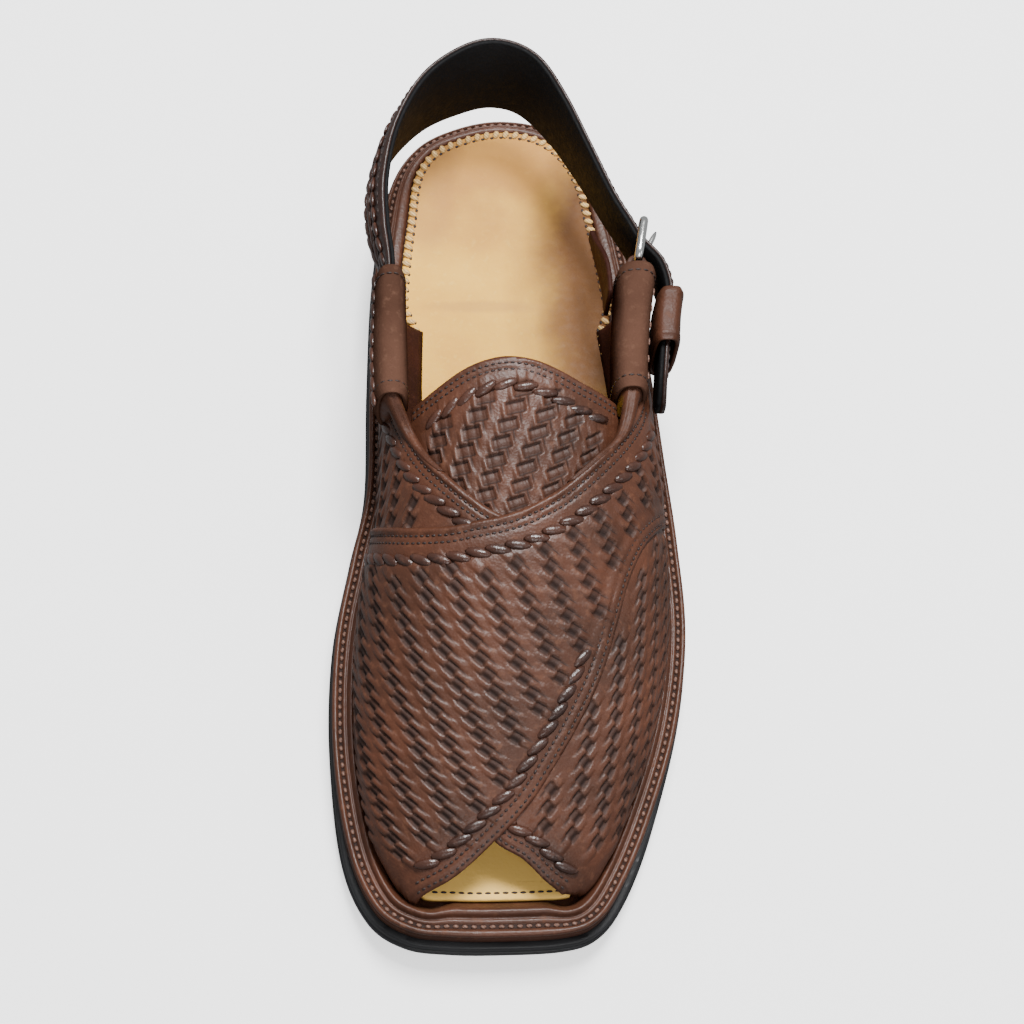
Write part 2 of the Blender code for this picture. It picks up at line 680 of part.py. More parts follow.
def tongue():
    """Woven tongue beneath both panels, with an arched top edge."""
    outline = np.vstack([curve_through(TONGUE_FOOT, 1), curve_through(TONGUE_TOP, 1)])
    item = leather_sheet(outline, 0.0, TONGUE_LEATHER)
    field = woven_field(TONGUE_FIELD, 0.4, TONGUE_LEATHER + 0.1, TONGUE_PITCH, 0.0)
    item = combine(item, field, "UNION")
    item.name = "tongue"
    return lasted(item, TONGUE_DEPTH)


# ---------------------------------------------------------------- strap and buckle

def strap_frames(rows):
    """Smooth centre line of the strap with its width, side and up directions."""
    line = curve_through(rows, 2)
    along = np.gradient(line[:, :2], axis=0)
    along /= np.linalg.norm(along, axis=1, keepdims=True)
    outward = np.stack([-along[:, 1], along[:, 0]], 1)
    return line, outward


def back_strap():
    """Strap from the inner sleeve round the heel, through the buckle, to its tail."""
    line, outward = strap_frames(STRAP)
    edge = 0.5
    half = STRAP_THICKNESS / 2
    corners = (
        (half, -1, edge, 0), (half, -0.5, 0, 0.8), (half, 0.0, 0, 1), (half, 0.5, 0, 0.8),
        (half, 1, edge, 0), (half - edge, 1, 0, 0), (-half, 1, 0, 0),
        (-half, -1, 0, 0), (half - edge, -1, 0, 0),
    )

    def place(column, row):
        x, y, z, width, lean, crown = line[row]
        offset, end, cut, swell = corners[column]
        offset += crown * swell
        high = end * (width / 2 - cut)
        lean = math.radians(lean)
        away = offset * math.cos(lean) + high * math.sin(lean)
        up = high * math.cos(lean) - offset * math.sin(lean)
        return (x + outward[row][0] * away, y + outward[row][1] * away, z + up)

    item = wrapped_grid("back_strap", len(corners), len(line), place)
    return combine(item, rod("hole", prong_start(), prong_end(), PRONG / 2 + 0.45, 12), "DIFFERENCE")


def rod(name, start, end, radius, sides, tip=None):
    """A round bar between two points."""
    start = np.array(start, float)
    end = np.array(end, float)
    length = float(np.linalg.norm(end - start))
    bm = bmesh.new()
    bmesh.ops.create_cone(bm, cap_ends=True, segments=sides, radius1=radius,
                          radius2=radius if tip is None else tip, depth=length)
    direction = (end - start) / length
    turn = Matrix.Identity(3)
    side = np.cross(direction, (0, 0, 1.0))
    side = side / np.linalg.norm(side)
    third = np.cross(direction, side)
    turn = Matrix(np.stack([side, -third, direction], 1).tolist()).to_4x4()
    bmesh.ops.transform(bm, matrix=turn, verts=bm.verts)
    bmesh.ops.translate(bm, verts=bm.verts, vec=((start + end) / 2).tolist())
    return mesh_object(name, bm)


def prong_start():
    """Middle of the front bar, a little towards the rear."""
    along = np.array(REAR_BAR) - np.array(FRONT_BAR)
    along = along / np.linalg.norm(along)
    point = np.array(FRONT_BAR) + along * (WIRE / 2 + 1.2)
    return (point[0], point[1], BUCKLE_HEIGHT)


def prong_end():
    """The prong's tip, outside the rear bar and standing a little off it."""
    return (REAR_BAR[0] + 5.2, REAR_BAR[1] + 1.6, BUCKLE_HEIGHT)


def buckle_frame():
    """Rectangular wire frame with rounded corners."""
    front = np.array(FRONT_BAR)
    rear = np.array(REAR_BAR)
    along = (rear - front) / np.linalg.norm(rear - front)
    middle = (front + rear) / 2
    half_length = np.linalg.norm(rear - front) / 2
    half_height = (FRAME_HEIGHT - WIRE) / 2
    corner = 2.6
    path = []
    for sign_y, sign_z, first in ((1, 1, 0), (-1, 1, 90), (-1, -1, 180), (1, -1, 270)):
        for step in range(4):
            angle = math.radians(first + 30 * step)
            centre = (sign_y * (half_length - corner), sign_z * (half_height - corner))
            path.append((centre[0] + corner * math.cos(angle), centre[1] + corner * math.sin(angle),
                         math.cos(angle), math.sin(angle)))
    sides = 8

    def place(column, row):
        length, height, out_length, out_height = path[row]
        angle = 2 * math.pi * column / sides
        reach = WIRE / 2 * math.cos(angle)
        away = WIRE / 2 * math.sin(angle)
        spot = middle + along * (length + out_length * reach)
        return (spot[0] - along[1] * -away, spot[1] - along[0] * away, BUCKLE_HEIGHT + height + out_height * reach)

    return wrapped_grid("buckle_frame", sides, len(path), place, rows_closed=True)


def buckle_prong():
    """Eye round the front bar and a tapered pin that rests on the rear bar."""
    around, sides = 12, 6
    inner = WIRE / 2 + 0.35
    middle = inner + PRONG / 2 * 0.75

    def place(column, row):
        turn = 2 * math.pi * row / around
        angle = 2 * math.pi * column / sides
        reach = middle + PRONG / 2 * 0.75 * math.cos(angle)
        return (FRONT_BAR[0] + reach * math.cos(turn), FRONT_BAR[1] + reach * math.sin(turn),
                BUCKLE_HEIGHT + PRONG / 2 * math.sin(angle))

    eye = wrapped_grid("buckle_prong", sides, around, place, rows_closed=True)
    along = np.array(prong_end()) - np.array(prong_start())
    along = along / np.linalg.norm(along)
    start = np.array(prong_start()) + along * 0.2
    pin = rod("pin", start, prong_end(), PRONG / 2, 8, tip=PRONG * 0.36)
    return combine(eye, pin, "UNION")


def folded_strip(name, path, low, high, thickness):
    """An upright strip of leather that follows a line in plan."""
    path = np.array(path, float)
    along = np.gradient(path, axis=0)
    along /= np.linalg.norm(along, axis=1, keepdims=True)
    side = np.stack([-along[:, 1], along[:, 0]], 1) * thickness / 2
    outline = np.vstack([path + side, (path - side)[::-1]])
    return stack_of_outlines(name, ((outline, low), (outline, high)))


def buckle_tab():
    """Leather tab folded round the front bar, its legs sewn inside the outer sleeve."""
    radius = WIRE / 2 + GAP + 0.8
    x, y = FRONT_BAR
    legs = [(x - 2.6 - radius * 0.2, y - 22.0), (x - 0.6 - radius, y - 8.0), (x - radius, y - 2.0)]
    fold = [(x - radius * math.cos(math.radians(angle)), y + radius * math.sin(math.radians(angle)))
            for angle in range(0, 181, 30)]
    back = [(x + radius, y - 2.0), (x + 1.2, y - 8.0), (x - 0.4, y - 22.0)]
    item = folded_strip("buckle_tab", legs + fold + back, BUCKLE_HEIGHT - 6.5, BUCKLE_HEIGHT + 6.5, 1.6)
    slot = prism(np.array([(x - 6, y - 4), (x + 8, y - 4), (x + 8, y + 8), (x - 6, y + 8)]),
                 BUCKLE_HEIGHT - PRONG / 2 - 0.5, BUCKLE_HEIGHT + PRONG / 2 + 0.5)
    return combine(item, slot, "DIFFERENCE")


def buckle_guard():
    """Pointed leather flap behind the buckle, sewn to the inner face of the outer sleeve."""
    path = curve_through(((32.9, 54), (32.8, 61), (32.0, 68), (30.4, 76), (29.2, 82)), 2)
    item = folded_strip("buckle_guard", path, 42.0, 57.0, 1.5)
    bm = bmesh.new()
    bm.from_mesh(item.data)
    for vert in bm.verts:
        point = smooth_step((vert.co.y - 64.0) / 20.0)
        vert.co.z = 49.0 + (vert.co.z - 49.0) * (1.0 - 0.7 * point) - 2.5 * point
    bmesh.ops.triangulate(bm, faces=bm.faces)
    bm.to_mesh(item.data)
    bm.free()
    return item


def keeper():
    """Leather loop on the outer sleeve that holds the strap's tail."""
    stations = ((33.5, 49.1, 51.3), (42.5, 49.9, 52.0), (51.5, 51.4, 52.5))
    half_width, half_height = 4.4, 12.2
    around = 18
    rows = stations + stations[::-1]

    def place(column, row):
        y, x, z = rows[row]
        cut = KEEPER_WALL if row >= len(stations) else 0.0
        angle = 2 * math.pi * column / around
        wide, tall = oval(angle, 0.5)
        return (x + (half_width - cut) * wide, y, z + (half_height - cut) * tall)

    return wrapped_grid("keeper", around, len(rows), place, rows_closed=True)


# ---------------------------------------------------------------- assembly

def paint(item, slot):
    """Give a piece its own material from the named finish."""
    colour, roughness, metallic = COLOURS[slot]
    material = bpy.data.materials.new(f"{item.name}_{slot}")
    material.use_nodes = True
    shader = material.node_tree.nodes["Principled BSDF"]
    shader.inputs["Base Color"].default_value = (*colour, 1.0)
    shader.inputs["Roughness"].default_value = roughness
    shader.inputs["Metallic"].default_value = metallic
    item.data.materials.clear()
    item.data.materials.append(material)


def finish(items):
    """Turn every piece to metres and put the origin under the middle of the shoe."""
    low = np.full(3, np.inf)
    high = np.full(3, -np.inf)
    for item in items:
        spots = np.array([vert.co for vert in item.data.vertices])
        low = np.minimum(low, spots.min(0))
        high = np.maximum(high, spots.max(0))
    shift = Matrix.Translation((-(low[0] + high[0]) / 2, -(low[1] + high[1]) / 2, -low[2]))
    for item in items:
        item.data.transform(Matrix.Scale(MM, 4) @ shift)
        item.data.shade_smooth()
        item.data.set_sharp_from_angle(angle=math.radians(35))


def clear_scene():
    """Start from an empty scene."""
    for item in list(bpy.data.objects):
        bpy.data.objects.remove(item)


def main():
    clear_scene()
    pieces = (
        (outsole, "black_rubber"), (heel, "black_rubber"), (midsole, "brown_leather"),
        (welt, "brown_leather"), (insole, "tan_leather"), (upper, "woven_leather"),
        (tongue, "woven_leather"), (back_strap, "strap_leather"), (keeper, "brown_leather"),
        (buckle_frame, "silver_metal"), (buckle_prong, "silver_metal"),
        (buckle_tab, "brown_leather"), (buckle_guard, "brown_leather"),
    )
    items = []
    for make, slot in pieces:
        item = make()
        paint(item, slot)
        items.append(item)
    finish(items)


main()
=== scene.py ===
"""Dress for the peshawari chappal: each leather, rubber and metal piece of a left shoe.

Tables are in millimetres in the last's own frame, toe towards -Y and outer side
towards +X. SHIFT and MM carry them into the model's frame.
"""
import math

import bmesh
import bpy
import numpy as np
from mathutils import Matrix, Vector


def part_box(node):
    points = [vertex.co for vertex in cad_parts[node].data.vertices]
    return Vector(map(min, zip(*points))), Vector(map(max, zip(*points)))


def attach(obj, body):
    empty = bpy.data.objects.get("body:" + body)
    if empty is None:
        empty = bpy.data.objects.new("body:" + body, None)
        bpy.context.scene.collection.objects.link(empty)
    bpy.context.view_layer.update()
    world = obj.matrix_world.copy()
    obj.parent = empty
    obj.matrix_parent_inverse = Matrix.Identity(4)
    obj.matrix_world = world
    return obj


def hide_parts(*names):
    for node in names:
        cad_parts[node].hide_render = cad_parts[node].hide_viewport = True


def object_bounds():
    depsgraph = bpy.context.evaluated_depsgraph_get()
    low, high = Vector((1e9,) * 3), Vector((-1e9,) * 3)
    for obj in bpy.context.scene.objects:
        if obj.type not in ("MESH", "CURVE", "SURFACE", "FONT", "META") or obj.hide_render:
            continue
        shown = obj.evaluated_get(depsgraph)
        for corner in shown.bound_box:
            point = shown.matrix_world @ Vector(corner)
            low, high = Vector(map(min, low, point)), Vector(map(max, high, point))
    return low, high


bl_info = {
    "name": "Peshawari Chappal",
    "version": (1, 0, 0),
    "blender": (4, 5, 0),
    "location": "View3D > Sidebar > Chappal",
    "description": "Builds a woven leather sandal, piece by piece, round its solid model",
    "category": "Object",
}

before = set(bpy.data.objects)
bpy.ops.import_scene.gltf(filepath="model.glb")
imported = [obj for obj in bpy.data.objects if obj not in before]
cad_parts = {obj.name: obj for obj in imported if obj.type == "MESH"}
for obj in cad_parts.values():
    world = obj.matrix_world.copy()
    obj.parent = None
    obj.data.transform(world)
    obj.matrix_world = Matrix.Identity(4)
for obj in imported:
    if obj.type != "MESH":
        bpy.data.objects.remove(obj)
CAD_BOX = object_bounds()

MM = 0.001
GAP = 0.3
TOE_SPRING = 5.0
HEEL_LIFT = 10.5
OUTSOLE_THICKNESS = 6.7
SEAT = 11.0
SPRING_START = -88.0
SHANK_START = -25.0
SHANK_END = 47.0
HEEL_BREAST = 52.0
WELT_WIDTH = 8.6
TOE_WELT_EXTRA = 2.4
HEEL_WELT_CUT = 4.0
WELT_HEIGHT = 2.3
WELT_CHANNEL = 0.29
BEAD_HEIGHT = 2.0
INSOLE_THICKNESS = 2.5
LEATHER = 1.6
LAYER_RISE = 1.2
UPPER_ROOM = LAYER_RISE + LEATHER + 4 * GAP
WALL_FOOT = 1.0
TOE_MIDDLE = -6.5
TONGUE_DEPTH = -2.7
TONGUE_LEATHER = 1.3
TONGUE_CROWN = 0.5
SLEEVE_HALF_HEIGHT = 12.0
SLEEVE_WALL = 1.8
SLEEVE_FULLNESS = 0.75
SLEEVE_SEAM = 3.2
STRAP_HALF = 1.5
KEEPER_HALF_HEIGHT = 12.2
KEEPER_WALL = 1.6
KEEPER_FULLNESS = 0.5
BUCKLE_HEIGHT = 53.0
BUCKLE_TALL = 25.0
BUCKLE_CORNER = 2.6
FRONT_BAR = (41.5, 63.0)
REAR_BAR = (44.2, 77.4)
WIRE = 2.8
PRONG = 0.86
TAB_LEATHER = 1.6
TAB_SLOT = 1.65
TAB_HALF_HEIGHT = 6.5
GUARD_LEATHER = 1.5

# One bead of each thread or lace: its length, width and height
UPPER_STITCH = (1.35, 0.8, 0.6)
SLEEVE_STITCH = (1.8, 0.7, 0.6)
SLEEVE_MARK = (2.4, 0.6, 0.7)
STRAP_STITCH = (2.0, 0.7, 0.6)
WELT_STITCH = (1.8, 1.25, 1.0)
WHIP_STITCH = (3.2, 2.2, 1.5)
WHIP_HOLE = (1.3, 1.0, 0.5)
TOE_STITCH = (1.9, 0.8, 0.5)
EDGE_LACE = (8.4, 3.4, 2.5)
SLEEVE_LACE = (7.0, 3.2, 2.0)
STRAP_LACE = (7.6, 4.0, 1.8)
LACE_TWIST = 0.36
WHIP_TWIST = 1.15

# Outlines and patterns, each as the few points that its curve runs through
RIM = (
    (-6, -143.3), (12, -142.6), (22, -139.2), (30, -129), (40, -108), (50.5, -78),
    (56, -46), (55.5, -14), (52, 18), (47.5, 60), (41.5, 104), (33, 126),
    (20, 139.5), (4, 143.3), (-12, 140), (-26.5, 131), (-36, 113), (-41, 80),
    (-43, 40), (-44, 5), (-49, -18), (-54.5, -48), (-55.3, -82), (-51, -114),
    (-43.5, -133), (-33.5, -140.8), (-21, -142.9),
)
LAST_COLUMNS = ("y", "edge_in", "edge_out", "wide_in", "wide_out", "wide_z", "crest_x", "crest_z")
LAST = (
    (-134, -26.0, 11.0, -26.6, 11.6, 3.0, -7.0, 22.5),
    (-129, -31.4, 18.0, -32.4, 18.6, 4.0, -6.0, 25.3),
    (-120, -36.2, 23.4, -38.2, 25.0, 6.5, -5.0, 30.2),
    (-105, -40.0, 29.6, -42.7, 31.6, 8.5, -3.5, 36.7),
    (-85, -42.5, 37.0, -45.2, 39.2, 10.0, -2.0, 43.9),
    (-60, -42.7, 42.8, -45.6, 45.2, 11.5, -2.0, 52.0),
    (-35, -39.7, 44.9, -43.2, 47.4, 13.5, -2.0, 59.6),
    (-10, -34.4, 42.9, -39.5, 46.0, 16.0, -1.5, 66.2),
    (15, -31.2, 40.0, -38.5, 43.5, 17.0, -0.5, 72.0),
    (40, -30.8, 37.3, -38.0, 41.8, 17.0, 0.0, 77.8),
    (65, -29.8, 34.5, -37.0, 40.0, 17.0, 0.0, 83.0),
)
TOP_FRONT = (
    (-25, -131.5), (-15, -127.5), (-5.5, -120), (4.7, -109.5), (11.4, -99), (18.9, -85.5),
    (26.3, -70.5), (31.5, -56), (36.5, -42), (44, -30), (56, -21), (68, -16.5),
)
TOP_THROAT = (
    (47, 20.5), (40.5, 9.5), (28.2, -5.5), (15, -18.5), (4.7, -25), (-3, -27.8), (-11, -29),
    (-19, -29.6), (-30.5, -27.5), (-44, -22.5), (-57, -17), (-68, -13),
)
UNDER_FRONT = (
    (18, -131.5), (12.4, -128.5), (5.1, -123), (-3.4, -118.5), (-13, -108), (-20, -97),
    (-27, -83), (-33, -67), (-38, -51), (-45, -37), (-55, -28), (-64, -24),
)
UNDER_THROAT = (
    (-45, 18.5), (-40, 12.5), (-28, -4.5), (-20, -13.5), (-11.7, -21.5), (-4.9, -26.5),
    (5, -30), (15, -30.5), (30, -27), (44, -20), (57, -13), (68, -8),
)
TOP_FIELD = (
    (-31, -120), (-44, -111), (-53, -98), (-58, -85), (-63, -66), (-66.5, -48), (-69, -32),
    (-62, -28.5), (-48.5, -34), (-33, -39.5), (-14.5, -41.5), (3.5, -39), (22, -29.5),
    (37, -12), (48, 2), (59, 15), (61, 27), (63, 42), (64, 54), (76, 54), (75, 28),
    (76, 10), (76.5, -8), (65, -7.5), (51, -14.5), (40, -23.5), (32, -37), (26.5, -54), (19, -66),
    (10.4, -81), (-3.3, -104.5), (-12, -113), (-22, -120),
)
UNDER_FIELD = (
    (8.5, -109), (13.2, -99.5), (20.5, -86), (28, -71), (33.2, -56.5), (38.2, -42.5),
    (45.3, -31.5), (56.6, -22.8), (66, -19), (76, -19), (74.5, -35), (71, -48), (66.5, -60),
    (61, -72), (55, -85), (44, -105), (36, -115.5), (27, -121), (18, -120.5), (10.5, -116),
)
QUARTER_FIELD = (
    (-24, -21.5), (-34.5, -10), (-47, 8), (-58, 22), (-62.5, 40), (-65, 54), (-75, 54),
    (-73.5, 40), (-72, 15), (-71, -9.5), (-57.6, -15.4), (-44.6, -21), (-32, -25.4),
)
TONGUE_TOP = (
    (-37, 12.5), (-31, 13.5), (-24, 15.6), (-16, 18.6), (-8, 20.6), (-1, 21.2), (7, 20.2),
    (15, 17.8), (23, 15.2), (31, 13.6), (37, 12.5),
)
TONGUE_FOOT = (
    (39, 4), (37, -22), (28, -45), (12, -56), (-12, -56), (-28, -45), (-37, -22), (-39, 4),
)
TONGUE_FIELD = (
    (-30, 1), (-20, 7.5), (-12, 11), (-3, 13), (5, 12.8), (13, 10), (22, 6.5), (30, 1),
    (30, -18), (20, -36), (0, -46), (-20, -36), (-30, -18),
)

# Sleeves and keeper: y, middle x, middle z, half width
SLEEVE_IN = (
    (13.5, -37.2, 53.0, 5.3), (30, -37.4, 53.0, 5.5), (45, -37.2, 53.0, 5.2), (58.5, -36.9, 53.0, 4.9),
)
SLEEVE_OUT = (
    (16.0, 36.8, 53.0, 5.6), (30, 37.6, 53.0, 5.7), (46, 39.3, 53.0, 6.0), (60.5, 41.3, 53.0, 6.7),
)
KEEPER = ((33.5, 49.1, 51.3, 4.4), (42.5, 49.9, 52.0, 4.4), (51.5, 51.4, 52.5, 4.4))

# Back strap: x, y and z of its middle, its height, its lean in degrees, how full its outer face is
STRAP = (
    (-37.2, 21, 53.0, 17.8, 0, 0), (-37.3, 42, 53.0, 17.8, 0, 0), (-37.2, 62, 53.2, 18.6, -1, 0.2),
    (-40.0, 76, 53.8, 20.6, -9, 0.8), (-40.6, 91.5, 54.8, 23.5, -11, 1.0), (-36.4, 110, 55.4, 26.0, -8, 0.9),
    (-26.3, 126.3, 55.6, 27.2, 2, 0.6), (-13.7, 135.8, 55.6, 27.4, 12, 0.4),
    (-2, 139.6, 55.6, 27.4, 16, 0.4), (9.5, 135.6, 55.4, 26.6, 13, 0.3),
    (19, 122.5, 55.0, 24.5, 7, 0.2), (28, 104, 54.0, 21.5, 2, 0), (35, 88, 53.2, 19.0, 0, 0),
    (39.8, 78.5, 53.0, 18.0, 0, 0), (43.4, 71.0, 53.0, 18.0, 0, 0), (49.2, 63.0, 52.9, 18.0, 0, 0),
    (51.2, 53, 52.6, 18.0, 0, 0), (49.8, 43, 52.0, 18.0, 0, 0), (48.4, 31, 51.0, 17.6, 0, 0),
    (47.5, 22, 50.0, 15.5, 0, 0), (47.3, 18, 49.6, 11.5, 0, 0), (47.2, 15.5, 49.4, 6.0, 0, 0),
)

GUARD = ((32.9, 54), (32.8, 61), (32.0, 68), (30.4, 76), (29.2, 82))

# Weaves: where one laced cell lies, the step down to the next one, the step across,
# how those steps bend, and how single cells and their rule follow from them
TOP_WEAVE = {
    "start": (-16.4, -47.7), "down": (1.5, -5.5), "across": (8.7, 1.8),
    "bends": ((0.04, 0.08), (-0.04, 0.2), (-0.05, 0.5)),
    "cells": ((0.75, 0.25), (0.25, -0.25)), "rule": (1, -1), "hole": 0.35, "fall": 1.0, "spill": 0.2,
}
UNDER_WEAVE = {
    "start": (32.5, -62.0), "down": (-0.5, -5.25), "across": (7.4, -0.7),
    "bends": ((0.0, 0.02), (0.04, 0.0), (-0.18, 0.4)),
    "cells": ((0.75, 0.25), (-0.25, 0.25)), "rule": (1, -1), "hole": 0.35, "fall": 1.0, "spill": 0.2,
}
TONGUE_WEAVE = {
    "start": (0.4, 5.2), "down": (-2.2, -5.5), "across": (9.5, -2.8),
    "bends": ((0.1, 0.05), (0.0, -0.1), (-0.05, 0.75)),
    "cells": ((0.75, 0.25), (0.25, -0.25)), "rule": (1, -1), "hole": 0.4, "fall": 0.0, "spill": 0.5,
}
PLAIN_WEAVE = {
    "start": (0.0, 0.0), "down": (4.0, 0.0), "across": (0.0, 4.0),
    "bends": ((0.0, 0.0), (0.0, 0.0), (0.0, 0.0)), "cells": ((1.0, 0.0), (0.0, 1.0)),
}

# Finished edges: the cut line, the side of it that the leather lies on and the leather's height over
# the last; the ridge, the valley of each seam and the lacing's furrow, each by its distance from the
# line, its width and its height or depth; and the stretches of the line that are sewn and laced
EDGES = {
    "top_front": {
        "line": TOP_FRONT, "side": 1, "height": LAYER_RISE + LEATHER, "ridge": (1.7, 2.0, 0.15),
        "seams": ((1.5, 0.45, 0.25), (3.9, 0.45, 0.25)), "sewn": (1, 60),
        "furrow": (7.2, 1.4, 0.4), "lacing": 7.2, "laced": (3, 37),
    },
    "top_throat": {
        "line": TOP_THROAT, "side": 1, "height": LAYER_RISE + LEATHER, "ridge": (0.1, 2.0, 0.55),
        "seams": ((2.5, 0.5, 0.3), (4.6, 0.5, 0.25)), "sewn": (3, 60),
        "furrow": (9.5, 1.5, 0.4), "lacing": 9.5, "laced": (5, 58),
    },
    "under_front": {
        "line": UNDER_FRONT, "side": -1, "height": LEATHER, "ridge": (1.6, 1.7, 0.15),
        "seams": ((1.4, 0.45, 0.25), (3.4, 0.45, 0.25)), "sewn": (1, 38),
        "furrow": (6.0, 1.3, 0.35), "lacing": 6.0, "laced": (3, 34),
    },
    "under_throat": {
        "line": UNDER_THROAT, "side": -1, "height": LEATHER, "ridge": (0.1, 2.0, 0.55),
        "seams": ((2.4, 0.5, 0.3), (4.3, 0.5, 0.25)), "sewn": (2, 30),
        "furrow": (7.4, 1.4, 0.4), "lacing": 7.4, "laced": (4, 27),
    },
    "tongue": {
        "line": TONGUE_TOP, "side": -1, "height": TONGUE_DEPTH + TONGUE_LEATHER, "ridge": (0.1, 1.6, 0.25),
        "seams": ((2.0, 0.45, 0.25), (4.0, 0.45, 0.25)), "sewn": (1, 60),
        "furrow": (8.6, 1.4, 0.35), "lacing": 8.8, "laced": (8, 54),
    },
}

# Lamps: name, place and size in metres, power in watts
LAMPS = (
    ("key", (0.1, 0.42, 1.15), 0.45, 29.0), ("side", (0.95, -0.35, 0.7), 0.4, 1.5),
    ("front", (0.1, -1.0, 0.95), 0.6, 6.0),
)
CAMERA_SPOT = (-58.5, -325.7, 668.3)
CAMERA_UP = (0, 0.891, 0.454)


# ---------------------------------------------------------------- curves and the last

def smooth_step(value):
    """0 below 0, 1 above 1, and a smooth rise between."""
    value = np.clip(value, 0.0, 1.0)
    return value * value * (3.0 - 2.0 * value)


def read_column(rows, index, at):
    """A smooth reading of one column of a table whose first column increases."""
    knots = np.array([row[0] for row in rows], float)
    values = np.array([row[index] for row in rows], float)
    slopes = np.gradient(values, knots)
    at = np.clip(np.asarray(at, float), knots[0], knots[-1])
    cell = np.clip(np.searchsorted(knots, at) - 1, 0, len(knots) - 2)
    span = knots[cell + 1] - knots[cell]
    t = (at - knots[cell]) / span
    start = values[cell] * (1 + 2 * t) * (1 - t) ** 2 + slopes[cell] * span * t * (1 - t) ** 2
    end = values[cell + 1] * t * t * (3 - 2 * t) + slopes[cell + 1] * span * t * t * (t - 1)
    return start + end


def curve_through(points, steps, closed=False):
    """Points on a smooth curve through the given ones."""
    points = np.array(points, float)
    count = len(points)
    result = []
    for index in range(count if closed else count - 1):
        p1 = points[index]
        p2 = points[(index + 1) % count]
        p0 = points[index - 1] if closed or index else 2 * p1 - p2
        ahead = index + 2
        p3 = points[ahead % count] if closed or ahead < count else 2 * p2 - p1
        for step in range(steps):
            t = step / steps
            result.append(0.5 * (2 * p1 + (p2 - p0) * t + (2 * p0 - 5 * p1 + 4 * p2 - p3) * t * t
                                 + (3 * p1 - p0 - 3 * p2 + p3) * t ** 3))
    if not closed:
        result.append(points[-1])
    return np.array(result)


def inward_normals(outline):
    """Unit normals of a closed outline that runs anticlockwise, pointing inwards."""
    along = np.roll(outline, -1, 0) - np.roll(outline, 1, 0)
    along /= np.linalg.norm(along, axis=1, keepdims=True)
    return np.stack([-along[:, 1], along[:, 0]], 1)


RIM_LINE = curve_through(RIM, 10, closed=True)
RIM_INWARD = inward_normals(RIM_LINE)
SHIFT = np.array([*(np.add(*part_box("midsole")) / 2 / MM)[:2], 0.0])
SHIFT[:2] -= (RIM_LINE.min(0) + RIM_LINE.max(0)) / 2


def inset_rim(distance):
    """The rim moved inwards by one distance, or by one for each of its points."""
    return RIM_LINE + RIM_INWARD * np.broadcast_to(np.reshape(distance, (-1, 1)), (len(RIM_LINE), 1))


def sole_lift(y):
    """Height of the sole's underside above the floor: toe spring, flat ball, raised heel."""
    spring = TOE_SPRING * np.clip((SPRING_START - y) / 56.0, 0.0, 1.1) ** 2
    return spring + HEEL_LIFT * smooth_step((y - SHANK_START) / (SHANK_END - SHANK_START))


def last_base(girth, y):
    """Points of the last's surface, from the girth measured from its crest and y."""
    section = {name: read_column(LAST, index, y) for index, name in enumerate(LAST_COLUMNS) if index}
    seat = sole_lift(y) + SEAT
    wide_z = section["wide_z"] + seat
    edge_z = seat + WALL_FOOT
    outer = girth >= 0
    wide = np.where(outer, section["wide_out"], section["wide_in"]) - section["crest_x"]
    edge = np.where(outer, section["edge_out"], section["edge_in"]) - section["crest_x"]
    power = 2.0 / 2.1
    turn = np.linspace(0, math.pi / 2, 28)[None, :]
    drop = np.linspace(0, 1, 8)[None, 1:]
    rise = (section["crest_z"] - wide_z)[:, None]
    x_top = wide[:, None] * np.sin(turn) ** power
    z_top = wide_z[:, None] + rise * np.clip(np.cos(turn), 0, 1) ** power
    x_low = wide[:, None] - (wide - edge)[:, None] * drop ** 2
    z_low = wide_z[:, None] - (wide_z - edge_z)[:, None] * drop
    x = np.concatenate([x_top, x_low], 1)
    z = np.concatenate([z_top, z_low], 1)
    length = np.cumsum(np.hypot(np.diff(x, axis=1), np.diff(z, axis=1)), 1)
    length = np.concatenate([np.zeros((len(length), 1)), length], 1)
    wanted = np.abs(girth)
    cell = np.clip((length < wanted[:, None]).sum(1) - 1, 0, length.shape[1] - 2)
    rows = np.arange(len(cell))
    part = (wanted - length[rows, cell]) / (length[rows, cell + 1] - length[rows, cell])
    x_at = x[rows, cell] + (x[rows, cell + 1] - x[rows, cell]) * part
    z_at = z[rows, cell] + (z[rows, cell + 1] - z[rows, cell]) * part
    return np.stack([section["crest_x"] + x_at, y, z_at], 1), length[:, -1]


def on_last(girth, y, height):
    """Pattern coordinates, and the height above the last's surface, to points in space."""
    girth = np.asarray(girth, float)
    y = np.asarray(y, float)
    step = 2.0
    base = last_base(girth, y)[0]
    across = last_base(girth + step, y)[0] - last_base(girth - step, y)[0]
    along = last_base(girth, y + step)[0] - last_base(girth, y - step)[0]
    normal = np.cross(across, along)
    normal /= np.linalg.norm(normal, axis=1, keepdims=True)
    points = base + normal * np.broadcast_to(np.asarray(height, float), girth.shape)[:, None]
    points[:, 2] = np.maximum(points[:, 2], sole_lift(points[:, 1]) + SEAT + GAP)
    return points


def edge_girth(y, side):
    """Girth at which the last meets the insole, negative on the inner side."""
    y = np.asarray(y, float)
    return side * last_base(np.full(len(y), side * 1.0), y)[1]


def girth_at_height(y, side, height):
    """Girth at which the last's side passes a height, below its crest."""
    trial = np.linspace(2, 1, 60)[:, None] * 0.5 * edge_girth([y], side)
    points = last_base(trial[:, 0], np.full(len(trial), float(y)))[0]
    return float(np.interp(height, points[:, 2], trial[:, 0]))


